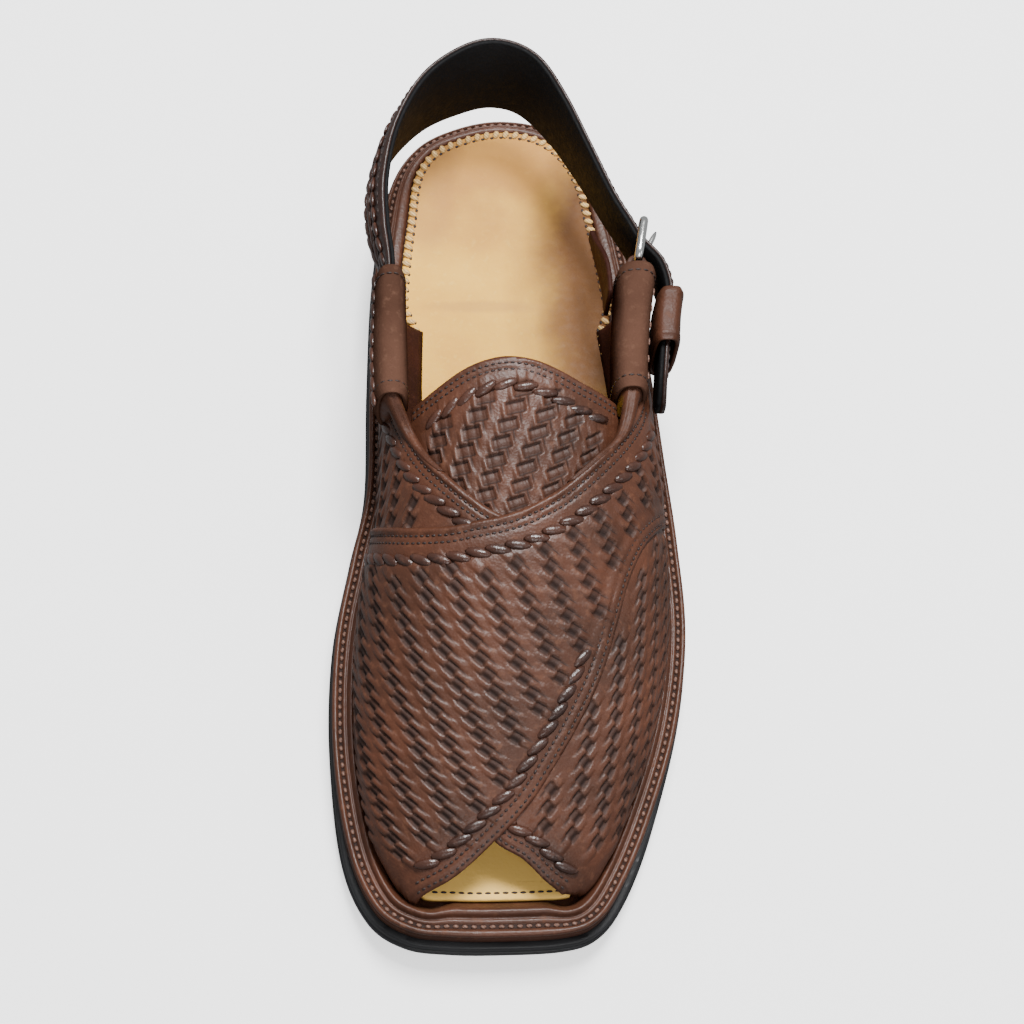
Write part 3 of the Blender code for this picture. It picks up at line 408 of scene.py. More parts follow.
def inside_outline(points, outline):
    """Which points lie inside a closed outline."""
    result = np.zeros(len(points), bool)
    for start, end in zip(outline, np.roll(outline, -1, 0)):
        spans = (start[1] > points[:, 1]) != (end[1] > points[:, 1])
        with np.errstate(divide="ignore", invalid="ignore"):
            cross = start[0] + (points[:, 1] - start[1]) * (end[0] - start[0]) / (end[1] - start[1])
        result ^= spans & (points[:, 0] < cross)
    return result


def nearest_on(points, line, closed=False):
    """Nearest spots on a line to the points, and how far away they are."""
    ends = np.roll(line, -1, 0) if closed else line[1:]
    best = np.full(len(points), np.inf)
    spot = np.zeros((len(points), 2))
    for start, end in zip(line, ends):
        along = end - start
        t = np.clip((points - start) @ along / max(along @ along, 1e-9), 0, 1)[:, None]
        near = start + along * t
        away = np.hypot(*(points - near).T)
        closer = away < best
        best[closer] = away[closer]
        spot[closer] = near[closer]
    return spot, best


def even_line(line, pitch):
    """A line's points moved to an even pitch."""
    length = np.concatenate([[0], np.cumsum(np.linalg.norm(np.diff(line, axis=0), axis=1))])
    count = max(2, int(round(length[-1] / pitch)) + 1)
    wanted = np.linspace(0, length[-1], count)
    return np.stack([np.interp(wanted, length, line[:, axis]) for axis in range(line.shape[1])], 1)


def beside(line, distance):
    """A flat line shifted sideways, to its left when the distance is positive."""
    along = np.gradient(line, axis=0)
    along /= np.linalg.norm(along, axis=1, keepdims=True)
    return line + np.stack([-along[:, 1], along[:, 0]], 1) * distance


def edge_stretch(start, end, side):
    """Pattern points along the line where the last meets the insole."""
    y = np.linspace(start, end, max(2, int(abs(end - start) / 3.0) + 1))
    return np.stack([edge_girth(y, side), y], 1)


def quarter_stretch(side, height, front, rear):
    """Pattern points along the underside of a sleeve, from its rear to its front."""
    y = np.linspace(rear, front, 12)
    return np.array([(girth_at_height(value, side, height), value) for value in y])


def top_outline():
    """Cut line of the panel that lies on top."""
    return np.vstack([
        curve_through(TOP_FRONT, 6), edge_stretch(-15.0, 57.0, 1), quarter_stretch(1, 45.0, 20.5, 59.5),
        curve_through(TOP_THROAT, 6), edge_stretch(-12.0, -130.0, -1)])


def under_outline():
    """Cut line of the panel that lies beneath."""
    return np.vstack([
        curve_through(UNDER_FRONT, 6)[::-1], edge_stretch(-130.0, -6.0, 1),
        curve_through(UNDER_THROAT, 6)[::-1], quarter_stretch(-1, 42.6, 18.5, 57.5)[::-1],
        edge_stretch(56.0, -22.0, -1)])


def tongue_outline():
    """Cut line of the tongue."""
    return np.vstack([curve_through(TONGUE_FOOT, 6), curve_through(TONGUE_TOP, 6)])


# ---------------------------------------------------------------- meshes

def finished(bm, name, finish, nodes=(), settle=True):
    """Write a bmesh in millimetres into a new piece of the shoe."""
    if settle:
        bmesh.ops.recalc_face_normals(bm, faces=bm.faces)
    mesh = bpy.data.meshes.new(name)
    bm.to_mesh(mesh)
    bm.free()
    mesh.transform(Matrix.Scale(MM, 4) @ Matrix.Translation(SHIFT))
    mesh.shade_smooth()
    mesh.materials.append(finish)
    item = bpy.data.objects.new(name, mesh)
    bpy.context.scene.collection.objects.link(item)
    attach(item, "root")
    if nodes:
        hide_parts(*nodes)
    return item


def skin(bm, columns, rows, place, closed_rows=False, dark=None):
    """A skin that closes round its columns; its open ends are capped."""
    steps = rows if closed_rows else rows - 1
    # dark gives each row an amount of painted shade, kept on its vertices
    layer = bm.verts.layers.float.new("dark") if dark else None
    made = bmesh.ops.create_grid(bm, x_segments=columns, y_segments=steps, size=0.5)["verts"]
    for vert in made:
        column = round((vert.co.x + 0.5) * columns) % columns
        row = round((vert.co.y + 0.5) * steps)
        vert.co = place(column, row % rows if closed_rows else row)
        if dark:
            vert[layer] = dark(row % rows)
    bmesh.ops.remove_doubles(bm, verts=made, dist=0.0001)
    if not closed_rows:
        made = [vert for vert in made if vert.is_valid]
        rims = once(edge for vert in made for edge in vert.link_edges if edge.is_boundary)
        bmesh.ops.holes_fill(bm, edges=rims, sides=0)


def stacked_skin(bm, lines, levels):
    """A skin through level outlines, each at the height that its level gives."""
    skin(bm, len(lines[0]), len(levels), lambda column, row: (*lines[row][column], levels[row][1]))


def once(items):
    """The items without repeats, in their own order."""
    return list(dict.fromkeys(items))


def bend_to_sole(bm):
    """Cut a flat piece across where the sole bends, and raise it onto the sole's line."""
    for station in np.arange(-142, 146, 4.0):
        if SPRING_START + 2.0 < station < SHANK_START - 3.0 or station > HEEL_BREAST:
            continue
        everything = bm.verts[:] + bm.edges[:] + bm.faces[:]
        bmesh.ops.bisect_plane(bm, geom=everything, plane_co=(0, station, 0), plane_no=(0, 1, 0))
    for vert in bm.verts:
        vert.co.z += float(sole_lift(vert.co.y))


def seed(bm, spot, along, up, size):
    """A small rounded bead, lying along a direction on a surface."""
    along = Vector(along).normalized()
    up = Vector(up)
    up = (up - along * up.dot(along)).normalized()
    side = up.cross(along)
    turn = Matrix((along, side, up)).transposed().to_4x4()
    stretch = Matrix.Diagonal((*(0.5 * value for value in size), 1.0))
    shape = Matrix.Translation(Vector(spot)) @ turn @ stretch
    bmesh.ops.create_uvsphere(bm, u_segments=8, v_segments=5, radius=1.0,
                              matrix=shape @ Matrix.Rotation(math.pi / 2, 4, "Y"))


def upright(points):
    """An upward direction for each of some points."""
    return np.tile((0, 0, 1.0), (len(points), 1))


def stitch_line(bm, points, ups, pitch, size, turn=0.0):
    """A row of stitches laid along points in space."""
    both = even_line(np.hstack([points, ups]), pitch)
    spots, normals = both[:, :3], both[:, 3:]
    along = np.gradient(spots, axis=0)
    for spot, normal, way in zip(spots, normals, along):
        if turn:
            way = Matrix.Rotation(turn, 3, Vector(normal)) @ Vector(way)
        seed(bm, spot, way, normal, size)


def lasted_line(line, height):
    """A line of the pattern on the last, with the surface's own normals."""
    points = on_last(line[:, 0], line[:, 1], height)
    above = on_last(line[:, 0], line[:, 1], height + 1.0)
    ups = above - points
    ups[np.linalg.norm(ups, axis=1) < 0.2] = (0, 0, 1)
    return points, ups / np.linalg.norm(ups, axis=1, keepdims=True)


# ---------------------------------------------------------------- woven leather

CUTS_ALONG = (0.0, 0.08, 0.16, 0.3, 0.5, 0.7, 0.84, 0.92)
CUTS_ACROSS = (0.0, 0.14, 0.32, 0.5, 0.68, 0.86)


def bent(steps):
    """The square of a count of steps, carried on straight where the weave is out of sight."""
    held = np.clip(steps, -3.0, 5.0)
    return held ** 2 + 2 * held * (steps - held)


def weave_to_flat(weave, cells):
    """Single cells of a weave to the flat leather."""
    down, across = ((cells - 0.5) @ np.array(weave["cells"]).T).T
    bends = np.array(weave["bends"])
    return (np.array(weave["start"]) + np.outer(down, weave["down"]) + np.outer(across, weave["across"])
            + np.outer(bent(down * 0.5) * 4, bends[0])
            + np.outer(np.clip(down, -4, 13) * np.clip(across, -4, 5), bends[1])
            + np.outer(bent(across), bends[2]))


def flat_to_weave(weave, flat):
    """The flat leather to single cells of a weave, by a few corrections."""
    step = np.array(weave["cells"]).T @ np.array([weave["down"], weave["across"]])
    inverse = np.linalg.inv(step)
    cells = (flat - np.array(weave["start"])) @ inverse + 0.5
    for _ in range(25):
        cells = cells + 0.7 * (flat - weave_to_flat(weave, cells)) @ inverse
    return cells


def sheet_of_cells(bm, outline, weave, cuts_along, cuts_across):
    """A flat sheet whose cells follow a weave, its rim drawn onto the cut line."""
    reach = flat_to_weave(weave, outline)
    low = np.floor(reach.min(0)).astype(int) - 1
    count = np.ceil(reach.max(0)).astype(int) + 1 - low
    along = np.concatenate([low[0] + index + np.array(cuts_along) for index in range(count[0])])
    across = np.concatenate([low[1] + index + np.array(cuts_across) for index in range(count[1])])
    columns, rows = len(along) - 1, len(across) - 1
    made = bmesh.ops.create_grid(bm, x_segments=columns, y_segments=rows, size=0.5)["verts"]
    grid = np.array([vert.co for vert in made])
    cells = np.stack([along[np.round((grid[:, 0] + 0.5) * columns).astype(int)],
                      across[np.round((grid[:, 1] + 0.5) * rows).astype(int)]], 1)
    flat = weave_to_flat(weave, cells)
    for vert, (x, y) in zip(made, flat):
        vert.co = (x, y, 0)
    faces = once(face for vert in made for face in vert.link_faces)
    middles = np.array([face.calc_center_median()[:2] for face in faces])
    keep = inside_outline(middles, outline)
    outside = [face for face, kept in zip(faces, keep) if not kept]
    bmesh.ops.delete(bm, geom=outside, context="FACES")
    kept = np.array([vert.is_valid for vert in made])
    made = [vert for vert in made if vert.is_valid]
    rim = [vert for vert in made if vert.is_boundary]
    spots = nearest_on(np.array([vert.co[:2] for vert in rim]), outline, closed=True)[0]
    for vert, (x, y) in zip(rim, spots):
        vert.co = (x, y, 0)
    return made, cells[kept]


def laced_cells(weave, fields, span_i, span_j):
    """Which cells of a weave a lace passes over."""
    grid_i, grid_j = np.meshgrid(span_i, span_j, indexing="ij")
    centre = weave_to_flat(weave, np.stack([grid_i.ravel() + 0.5, grid_j.ravel() + 0.5], 1))
    within = np.zeros(len(centre), bool)
    for field in fields:
        within |= inside_outline(centre, np.array(field, float))
    rule = weave["rule"]
    return within.reshape(grid_i.shape) & ((rule[0] * grid_i + rule[1] * grid_j) % 4 == 0)


def lace_cover(near, hole):
    """1 over a lace, 0 past its ends, from how far its middle is."""
    return 1 - smooth_step((near - hole + 0.04) / 0.08)


def hollow_shade(weave, near, in_hole, slits, v, from_end):
    """Painted shade of a laced leather: darker colour in the deep ends of the laces, the open slits and a
    soft rim round each hole.
    """
    deep_end = smooth_step((v - 0.15) / 0.6)
    both_ends = smooth_step((from_end - 0.2) / 0.5)
    shade = weave["fall"] * (0.66 + 0.28 * deep_end) + (1 - weave["fall"]) * (0.3 + 0.6 * both_ends)
    dark = np.maximum(in_hole * shade, 0.9 * slits)
    dark = np.maximum(dark, 0.8 * in_hole * smooth_step((near - weave["hole"] + 0.14) / 0.08))
    dark = np.maximum(dark, 0.5 * (1 - in_hole) * (1 - smooth_step((near - weave["hole"]) / 0.3)))
    return np.clip(dark, 0, 1)


def weave_relief(cells, weave, fields, crown):
    """Height of a laced leather over its plain surface, the painted highlight on its lips and the painted
    shade of its hollows.
    """
    hole = weave["hole"]
    spill = weave["spill"]
    cells = cells + 1e-6
    i, j = np.floor(cells).astype(int).T
    u, v = (cells - np.floor(cells)).T
    span_i = np.arange(i.min() - 8, i.max() + 9)
    span_j = np.arange(j.min() - 3, j.max() + 4)
    laced = laced_cells(weave, fields, span_i, span_j)

    def from_laced(row):
        """How far past the last laced cell of a row, and how far before the next one."""
        past = np.full(len(cells), 9.0)
        before = np.full(len(cells), 9.0)
        for step in range(-4, 5):
            away = u - 0.5 - step
            here = laced[i + step - span_i[0], row - span_j[0]]
            past = np.where(here & (away >= 0), np.minimum(past, away), past)
            before = np.where(here & (away < 0), np.minimum(before, -away), before)
        return past, before

    def slit(first, second, reach):
        """How open a slit is that starts a little before a lace and runs on past it."""
        started = smooth_step((hole + reach - first) / 0.55)
        return np.maximum(started, smooth_step((hole + 0.2 - second) / 0.16))

    past, before = from_laced(j)
    past_next, before_next = from_laced(j + 1)
    past_last, before_last = from_laced(j - 1)
    low_side = smooth_step((0.2 - v) / 0.2)
    high_side = smooth_step((v - 0.8) / 0.2)
    open_top = np.maximum(
        slit(past, before, 0.95) * low_side, slit(past_next, before_next, 0.95) * high_side)
    open_foot = np.maximum(
        slit(before, past, 0.5) * high_side, slit(before_last, past_last, 0.5) * low_side)
    near = np.minimum(past, before)
    in_hole = lace_cover(near, hole)
    for row_past, row_before, side in ((past_next, before_next, 1 - v), (past_last, before_last, v)):
        near_row = np.minimum(row_past, row_before)
        spilt = lace_cover(near_row, hole) * (side < spill)
        near = np.where(spilt > in_hole, near_row, near)
        in_hole = np.maximum(in_hole, spilt)
    open_top = open_top * (1 - in_hole)
    open_foot = open_foot * (1 - in_hole)

    rise_past = np.clip(1 - np.abs(past - hole - 0.32) / 1.2, 0, 1)
    rise_before = np.clip(1 - np.abs(before - hole - 0.3) / 0.9, 0, 1)
    swell = np.maximum(rise_past ** 0.8, 0.75 * rise_before ** 0.8)
    across = 1 - (0.55 - 0.7 * spill) * np.abs(2 * v - 1) ** 2.2
    strip = crown * swell * across - 0.55 * open_top - 0.55 * open_foot
    from_end = (near / hole) ** 2
    arch = -0.15 - 0.35 * smooth_step((0.35 - v) / 0.35) - 0.8 * smooth_step((v - 0.35) / 0.6)
    arch += 0.2 * (1 - from_end)
    level = -0.35 - 0.55 * from_end - 0.25 * np.abs(2 * v - 1) ** 3
    lace = weave["fall"] * arch + (1 - weave["fall"]) * level - 0.25 * open_top - 0.25 * open_foot
    height = strip * (1 - in_hole) + lace * in_hole
    slits = np.maximum(open_top, open_foot)
    # Painted highlight: a lighter band on the strips' raised lips just past each lace
    lip = (1 - in_hole) * np.clip(1 - np.abs(near - hole - 0.1) / 0.14, 0, 1) * (1 - slits)
    return height, lip, hollow_shade(weave, near, in_hole, slits, v, from_end)


def roll(away, start, width, height):
    """A low rounded ridge that lies along a line at a distance from it."""
    t = np.clip((away - start) / width, 0, 1)
    return height * np.sin(np.pi * t) ** 0.8


def groove(away, at, width, depth):
    """A narrow valley along a line at a distance from it."""
    return -depth * np.exp(-((away - at) / width) ** 2)


def edge_shape(edge, away):
    """Height that a finished edge adds to its leather, at a distance from the cut line."""
    valleys = (*edge["seams"], edge["furrow"])
    return roll(away, *edge["ridge"]) + sum(groove(away, *valley) for valley in valleys)


def laced_panel(name, outline, weave, fields, edges, rise, plain, crown, finish, nodes=(), base=0.0):
    """A woven panel: fine outer skin, turned edge and a plain lining, pulled over the last."""
    bm = bmesh.new()
    layer = bm.verts.layers.float.new("lip")
    shade = bm.verts.layers.float.new("dark")
    made, cells = sheet_of_cells(bm, outline, weave, CUTS_ALONG, CUTS_ACROSS)
    flat = np.array([vert.co[:2] for vert in made])
    relief, lip, dark = weave_relief(cells, weave, fields, crown)
    rim_away = nearest_on(flat, outline, closed=True)[1]
    height = plain + relief - 0.5 * (1 - smooth_step(rim_away / 0.9))
    near_field = np.full(len(flat), np.inf)
    for field in fields:
        field = np.array(field, float)
        away = nearest_on(flat, field, closed=True)[1]
        near_field = np.minimum(near_field, np.where(inside_outline(flat, field), 0, away))
    height += 0.45 * (1 - smooth_step(near_field / 5.0))
    for edge in (EDGES[key] for key in edges):
        away = nearest_on(flat, curve_through(edge["line"], 6))[1]
        height += edge_shape(edge, away)
    # Each vertex keeps its height, the strength of its lip's painted highlight and its painted shade
    for vert, h, value, deep in zip(made, height, lip, dark):
        vert.co.z = h
        vert[layer] = value
        vert[shade] = deep
    rims = [edge for edge in bm.edges if edge.is_boundary]
    grown = bmesh.ops.extrude_edge_only(bm, edges=rims)["geom"]
    for item in grown:
        if isinstance(item, bmesh.types.BMVert):
            item.co.z = base
    bmesh.ops.recalc_face_normals(bm, faces=bm.faces)
    up = sum(face.normal.z for face in bm.faces)
    if up < 0:
        bmesh.ops.reverse_faces(bm, faces=bm.faces[:])
    lining = sheet_of_cells(bm, outline, PLAIN_WEAVE, (0.0,), (0.0,))[0]
    faces = once(face for vert in lining for face in vert.link_faces)
    for vert in lining:
        vert.co.z = base
    for face in faces:
        face.normal_update()
    bmesh.ops.reverse_faces(bm, faces=[face for face in faces if face.normal.z > 0])
    flat = np.array([vert.co for vert in bm.verts])
    for vert, point in zip(bm.verts, on_last(flat[:, 0], flat[:, 1], flat[:, 2] + rise)):
        vert.co = point
    return finished(bm, name, finish, nodes, settle=False)


# ---------------------------------------------------------------- finishes

def add_node(tree, kind, inputs=(), **settings):
    """A shader node with its settings and its inputs, linked or set."""
    item = tree.nodes.new(kind)
    for key, value in settings.items():
        setattr(item, key, value)
    for key, value in inputs:
        if isinstance(value, bpy.types.NodeSocket):
            tree.links.new(value, item.inputs[key])
        else:
            item.inputs[key].default_value = value
    return item


def spread(tree, value, low, high, to_low, to_high):
    """A value stretched from one range to another, held inside it."""
    return add_node(tree, "ShaderNodeMapRange", (
        ("Value", value), ("From Min", low), ("From Max", high), ("To Min", to_low), ("To Max", to_high)
    )).outputs["Result"]


def blend_colours(tree, factor, first, second):
    """Two colours mixed by a factor."""
    item = add_node(tree, "ShaderNodeMix", data_type="RGBA")
    for socket, value in ((item.inputs[0], factor), (item.inputs[6], first), (item.inputs[7], second)):
        if isinstance(value, bpy.types.NodeSocket):
            tree.links.new(value, socket)
        else:
            socket.default_value = value
    return item.outputs[2]


def colour(red, green, blue):
    """A linear colour from its everyday 0 to 255 values."""
    def straight(value):
        value /= 255.0
        return value / 12.92 if value <= 0.04045 else ((value + 0.055) / 1.055) ** 2.4
    return (straight(red), straight(green), straight(blue), 1.0)


def noise(tree, where, scale, detail=3.0, rough=0.55, bend=0.0):
    """Soft noise at a scale in spots per metre."""
    return add_node(tree, "ShaderNodeTexNoise", (
        ("Vector", where), ("Scale", scale), ("Detail", detail), ("Roughness", rough), ("Distortion", bend)
    )).outputs["Fac"]


def bump(tree, height, strength, depth, under=None):
    """Small relief from a height, on top of another relief."""
    inputs = [("Height", height), ("Strength", strength), ("Distance", depth)]
    if under is not None:
        inputs.append(("Normal", under))
    return add_node(tree, "ShaderNodeBump", inputs).outputs["Normal"]


def new_finish(name):
    """A material with its node tree, its shader and the place on the shoe that its patterns read."""
    material = bpy.data.materials.new(name)
    material.use_nodes = True
    tree = material.node_tree
    where = add_node(tree, "ShaderNodeTexCoord").outputs["Object"]
    return material, tree, tree.nodes["Principled BSDF"], where


def add_shade_and_stain(tree, where, patch, base, spot, reach, shade_and_stain, amount):
    """A soft uneven patch round a spot, laid over a base colour: painted shade, and on the footbed stained
    patches too.
    """
    middle = [-(value + moved) / size for value, moved, size in zip(spot, SHIFT, reach)]
    scale = [1 / (size * MM) for size in reach]
    around = add_node(tree, "ShaderNodeMapping", (("Vector", where), ("Location", middle), ("Scale", scale)))
    near = add_node(tree, "ShaderNodeTexGradient", (("Vector", around.outputs["Vector"]),),
                    gradient_type="SPHERICAL").outputs["Fac"]
    patchy = spread(tree, patch, 0.35, 0.65, 0.75, 1.25)
    uneven = add_node(tree, "ShaderNodeMath", ((0, near), (1, patchy)), operation="MULTIPLY").outputs[0]
    return blend_colours(tree, spread(tree, uneven, 0.0, 0.5, 0.0, amount), base, colour(*shade_and_stain))


def leather_finish(name, tone, shade, worn, roughness, grain=1.0, coat=0.0, lips=None, shine=0.3,
                   creased=0.35, shade_and_stains=()):
    """Leather with patches of tone, pores, fine creases and rubbed high spots; over them painted shade and
    stained patches, and on woven leather a painted highlight on the strips' lips and painted shade in the
    hollows.
    """
    material, tree, shader, where = new_finish(name)
    patch = noise(tree, where, 38.0, 4.0)
    fine = noise(tree, where, 420.0, 3.0)
    base = blend_colours(tree, spread(tree, patch, 0.36, 0.64, 0.0, 1.0), tone, shade)
    base = blend_colours(tree, spread(tree, fine, 0.56, 0.74, 0.0, 0.45), base, worn)
    # Patches of painted shade, and on the footbed stained patches too, over the base colour
    for shade_and_stain in shade_and_stains:
        base = add_shade_and_stain(tree, where, patch, base, *shade_and_stain)
    pores = add_node(tree, "ShaderNodeTexVoronoi", (
        ("Vector", where), ("Scale", 1150.0 / grain), ("Randomness", 1.0))).outputs["Distance"]
    creases = noise(tree, where, 260.0 / grain, 5.0, 0.65, 0.6)
    dust = noise(tree, where, 3600.0, 2.0)
    normal = bump(tree, creases, creased, 0.0006)
    normal = bump(tree, pores, 0.28, 0.00025, normal)
    normal = bump(tree, dust, 0.15, 0.0001, normal)
    rough = spread(tree, fine, 0.3, 0.7, roughness - 0.07, roughness + 0.09)
    if lips:
        lip = add_node(tree, "ShaderNodeAttribute", attribute_name="lip").outputs["Fac"]
        dark = add_node(tree, "ShaderNodeAttribute", attribute_name="dark").outputs["Fac"]
        # Painted highlight on the lips beside the laces
        base = blend_colours(tree, spread(tree, lip, 0.0, 1.0, 0.0, 0.08), base, lips)
        rough = add_node(tree, "ShaderNodeMath", ((0, rough), (1, spread(tree, dark, 0.0, 1.0, 0.0, 0.4))),
                         operation="ADD", use_clamp=True).outputs[0]
        # Painted shade: the weave's hollows and slits darkened towards a near-black brown
        base = blend_colours(tree, spread(tree, dark, 0.0, 1.0, 0.0, 0.88), base, colour(20, 10, 8))
    tree.links.new(base, shader.inputs["Base Color"])
    tree.links.new(rough, shader.inputs["Roughness"])
    tree.links.new(normal, shader.inputs["Normal"])
    shader.inputs["Coat Weight"].default_value = coat
    shader.inputs["Coat Roughness"].default_value = 0.25
    shader.inputs["Specular IOR Level"].default_value = shine
    return material


def rubber_finish(name):
    """Dull black moulded rubber with faint dust and mould grain."""
    material, tree, shader, where = new_finish(name)
    patch = noise(tree, where, 60.0, 4.0)
    grain = noise(tree, where, 2600.0, 2.0)
    dusty = spread(tree, patch, 0.4, 0.68, 0.0, 1.0)
    base = blend_colours(tree, dusty, colour(20, 20, 22), colour(38, 38, 40))
    tree.links.new(base, shader.inputs["Base Color"])
    tree.links.new(spread(tree, patch, 0.3, 0.7, 0.46, 0.62), shader.inputs["Roughness"])
    tree.links.new(bump(tree, grain, 0.25, 0.00015), shader.inputs["Normal"])
    return material


def metal_finish(name):
    """Polished silver-coloured metal with hairline scratches."""
    material, tree, shader, where = new_finish(name)
    stretch = add_node(tree, "ShaderNodeMapping", (("Vector", where), ("Scale", (1.0, 8.0, 1.0))))
    lines = noise(tree, stretch.outputs["Vector"], 900.0, 3.0)
    base = blend_colours(tree, lines, colour(205, 205, 202), colour(232, 232, 230))
    tree.links.new(base, shader.inputs["Base Color"])
    tree.links.new(spread(tree, lines, 0.3, 0.7, 0.12, 0.26), shader.inputs["Roughness"])
    tree.links.new(bump(tree, lines, 0.1, 0.00005), shader.inputs["Normal"])
    shader.inputs["Metallic"].default_value = 1.0
    return material


def thread_finish(name, tone, shade):
    """Waxed thread with twisted strands."""
    material, tree, shader, where = new_finish(name)
    strands = add_node(tree, "ShaderNodeTexWave", (
        ("Vector", where), ("Scale", 520.0), ("Distortion", 3.0), ("Detail", 2.0)),
        bands_direction="DIAGONAL").outputs["Fac"]
    tree.links.new(blend_colours(tree, strands, tone, shade), shader.inputs["Base Color"])
    tree.links.new(bump(tree, strands, 0.3, 0.0001), shader.inputs["Normal"])
    shader.inputs["Roughness"].default_value = 0.6
    return material


# ---------------------------------------------------------------- settings

def tone_setting(name, description, red, green, blue):
    """A colour that the user can change."""
    return bpy.props.FloatVectorProperty(
        name=name, description=description, subtype="COLOR", size=4, min=0, max=1,
        default=colour(red, green, blue))


def size_setting(name, description, default, low, high):
    """A size in millimetres that the user can change."""
    return bpy.props.FloatProperty(
        name=name, description=description + ", in millimetres", default=default, min=low, max=high)


class ChappalColours(bpy.types.PropertyGroup):
    """Colours of the shoe's leathers."""
    leather: tone_setting("Leather", "Main tone of the woven leather", 82, 48, 33)
    leather_shade: tone_setting("Leather shade", "Darker patches of the leather", 62, 36, 24)
    leather_worn: tone_setting("Rubbed leather", "Lighter rubbed spots", 108, 69, 48)
    # Painted highlight: the colour of the strips' raised lips beside the laces, where they catch the light
    lip: tone_setting("Strip lips", "Rubbed lips of the woven strips beside the laces", 134, 92, 72)
    sleeve: tone_setting("Sleeves", "Main tone of the two sleeves", 83, 58, 47)
    footbed: tone_setting("Footbed", "Natural leather of the insole", 250, 192, 76)
    strap: tone_setting("Strap", "Outer face of the back strap", 46, 29, 24)


class ChappalSizes(bpy.types.PropertyGroup):
    """Sizes of the stitching, the lacing and the weave."""
    stitch_pitch: size_setting("Stitch pitch", "From one upper stitch to the next", 2.0, 1.2, 6.0)
    welt_pitch: size_setting("Welt pitch", "From one welt stitch to the next", 2.7, 1.8, 8.0)
    lacing_pitch: size_setting("Lacing pitch", "From one turn of the edge lacing to the next", 6.0, 3.0, 9.0)
    weave_crown: size_setting("Weave crown", "How far the panels' woven strips swell", 0.6, 0.2, 1.4)


def sizes():
    """The sizes set on the scene."""
    return bpy.context.scene.chappal_sizes


# Painted shade and stains: middle, reach along x, y and z, colour and strength
# Painted shade on the sides of the two sleeves that face into the shoe
SLEEVE_PAINTED_SHADE = (
    ((-30.5, 36, 48), (4.5, 40, 22), (26, 12, 9), 0.95),
    ((30.2, 26, 48), (4.5, 24, 22), (26, 12, 9), 0.95),
    ((33.0, 50, 48), (4.5, 24, 22), (26, 12, 9), 0.95),
)
# Painted shade and stains on the footbed: the heel darker where the strap shades it, painted shadows of the
# outer sleeve and strap over its outer side, tone patches on its inner side and a paler patch at the open
# toe
FOOTBED_SHADE_AND_STAINS = (
    ((0, 152, 14), (60, 75, 60), (176, 120, 64), 0.72),
    ((36, 94, 14), (27, 46, 60), (52, 31, 17), 1.0),
    ((37, 57, 14), (26, 38, 60), (56, 34, 19), 1.0),
    ((38, 72, 14), (38, 70, 60), (120, 80, 44), 0.8),
    ((-22, 138, 14), (14, 32, 60), (130, 90, 52), 0.6),
    ((-24, 106, 14), (12, 24, 60), (190, 136, 74), 0.5),
    ((-4, 68, 14), (24, 3, 60), (190, 136, 76), 0.4),
    ((-6, -130, 8), (70, 50, 60), (252, 205, 112), 1.0),
)
# How each leather is finished; its colours come from leather_tones
LEATHERS = {
    "woven_leather": {"roughness": 0.43, "shine": 0.34, "creased": 0.13},
    "sleeve_leather": {"roughness": 0.55, "shine": 0.0, "creased": 0.1, "shade_and_stains": SLEEVE_PAINTED_SHADE},
    "shaded_plain_leather": {"roughness": 0.5, "shine": 0.2, "creased": 0.1},
    "lining": {"roughness": 0.6, "grain": 1.2, "shine": 0.08},
    "lacing": {"roughness": 0.32, "grain": 0.8, "shine": 0.5, "creased": 0.08},
    "footbed": {"roughness": 0.55, "grain": 1.3, "shine": 0.15, "shade_and_stains": FOOTBED_SHADE_AND_STAINS},
    "strap": {"roughness": 0.38, "coat": 0.1},
    "strap_inner": {"roughness": 0.7, "grain": 1.2, "shine": 0.15},
}
THREADS = {
    "dark_thread": ((28, 15, 12), (44, 25, 20)),
    "pale_thread": ((222, 186, 122), (180, 136, 78)),
    "welt_thread": ((118, 86, 72), (84, 58, 48)),
}
FINISHES = {}


def leather_tones(tones):
    """Each leather's main tone, its darker patches and its rubbed spots."""
    main = (tuple(tones.leather), tuple(tones.leather_shade), tuple(tones.leather_worn))
    return {
        "woven_leather": main,
        "sleeve_leather": (tuple(tones.sleeve), colour(66, 45, 36), colour(102, 75, 61)),
        # The plain leather is the woven leather's colours darkened to 0.78: painted shade, the same leather
        "shaded_plain_leather": tuple((*(0.78 * part for part in tone[:3]), 1.0) for tone in main),
        "lining": (colour(54, 27, 20), colour(42, 22, 17), colour(72, 42, 33)),
        "lacing": (colour(70, 41, 30), colour(44, 26, 20), colour(96, 62, 48)),
        "footbed": (tuple(tones.footbed), colour(236, 175, 68), colour(252, 209, 110)),
        "strap": (tuple(tones.strap), colour(38, 24, 20), colour(76, 50, 40)),
        "strap_inner": (colour(15, 15, 17), colour(9, 9, 10), colour(24, 24, 27)),
    }


def make_finish(key):
    """One of the shoe's finishes, in the colours set on the scene."""
    name = key + "_finish"
    if key in LEATHERS:
        tones = bpy.context.scene.chappal_colours
        lips = tuple(tones.lip) if key == "woven_leather" else None
        return leather_finish(name, *leather_tones(tones)[key], lips=lips, **LEATHERS[key])
    if key in THREADS:
        return thread_finish(name, *(colour(*tone) for tone in THREADS[key]))
    return rubber_finish(name) if key == "rubber" else metal_finish(name)


def finish_of(key):
    """A finish, made the first time that a piece asks for it."""
    if key not in FINISHES:
        FINISHES[key] = make_finish(key)
    return FINISHES[key]


# ---------------------------------------------------------------- operators

class Maker(bpy.types.Operator):
    """Shared settings of the operators that make pieces."""
    bl_options = {"REGISTER", "UNDO"}


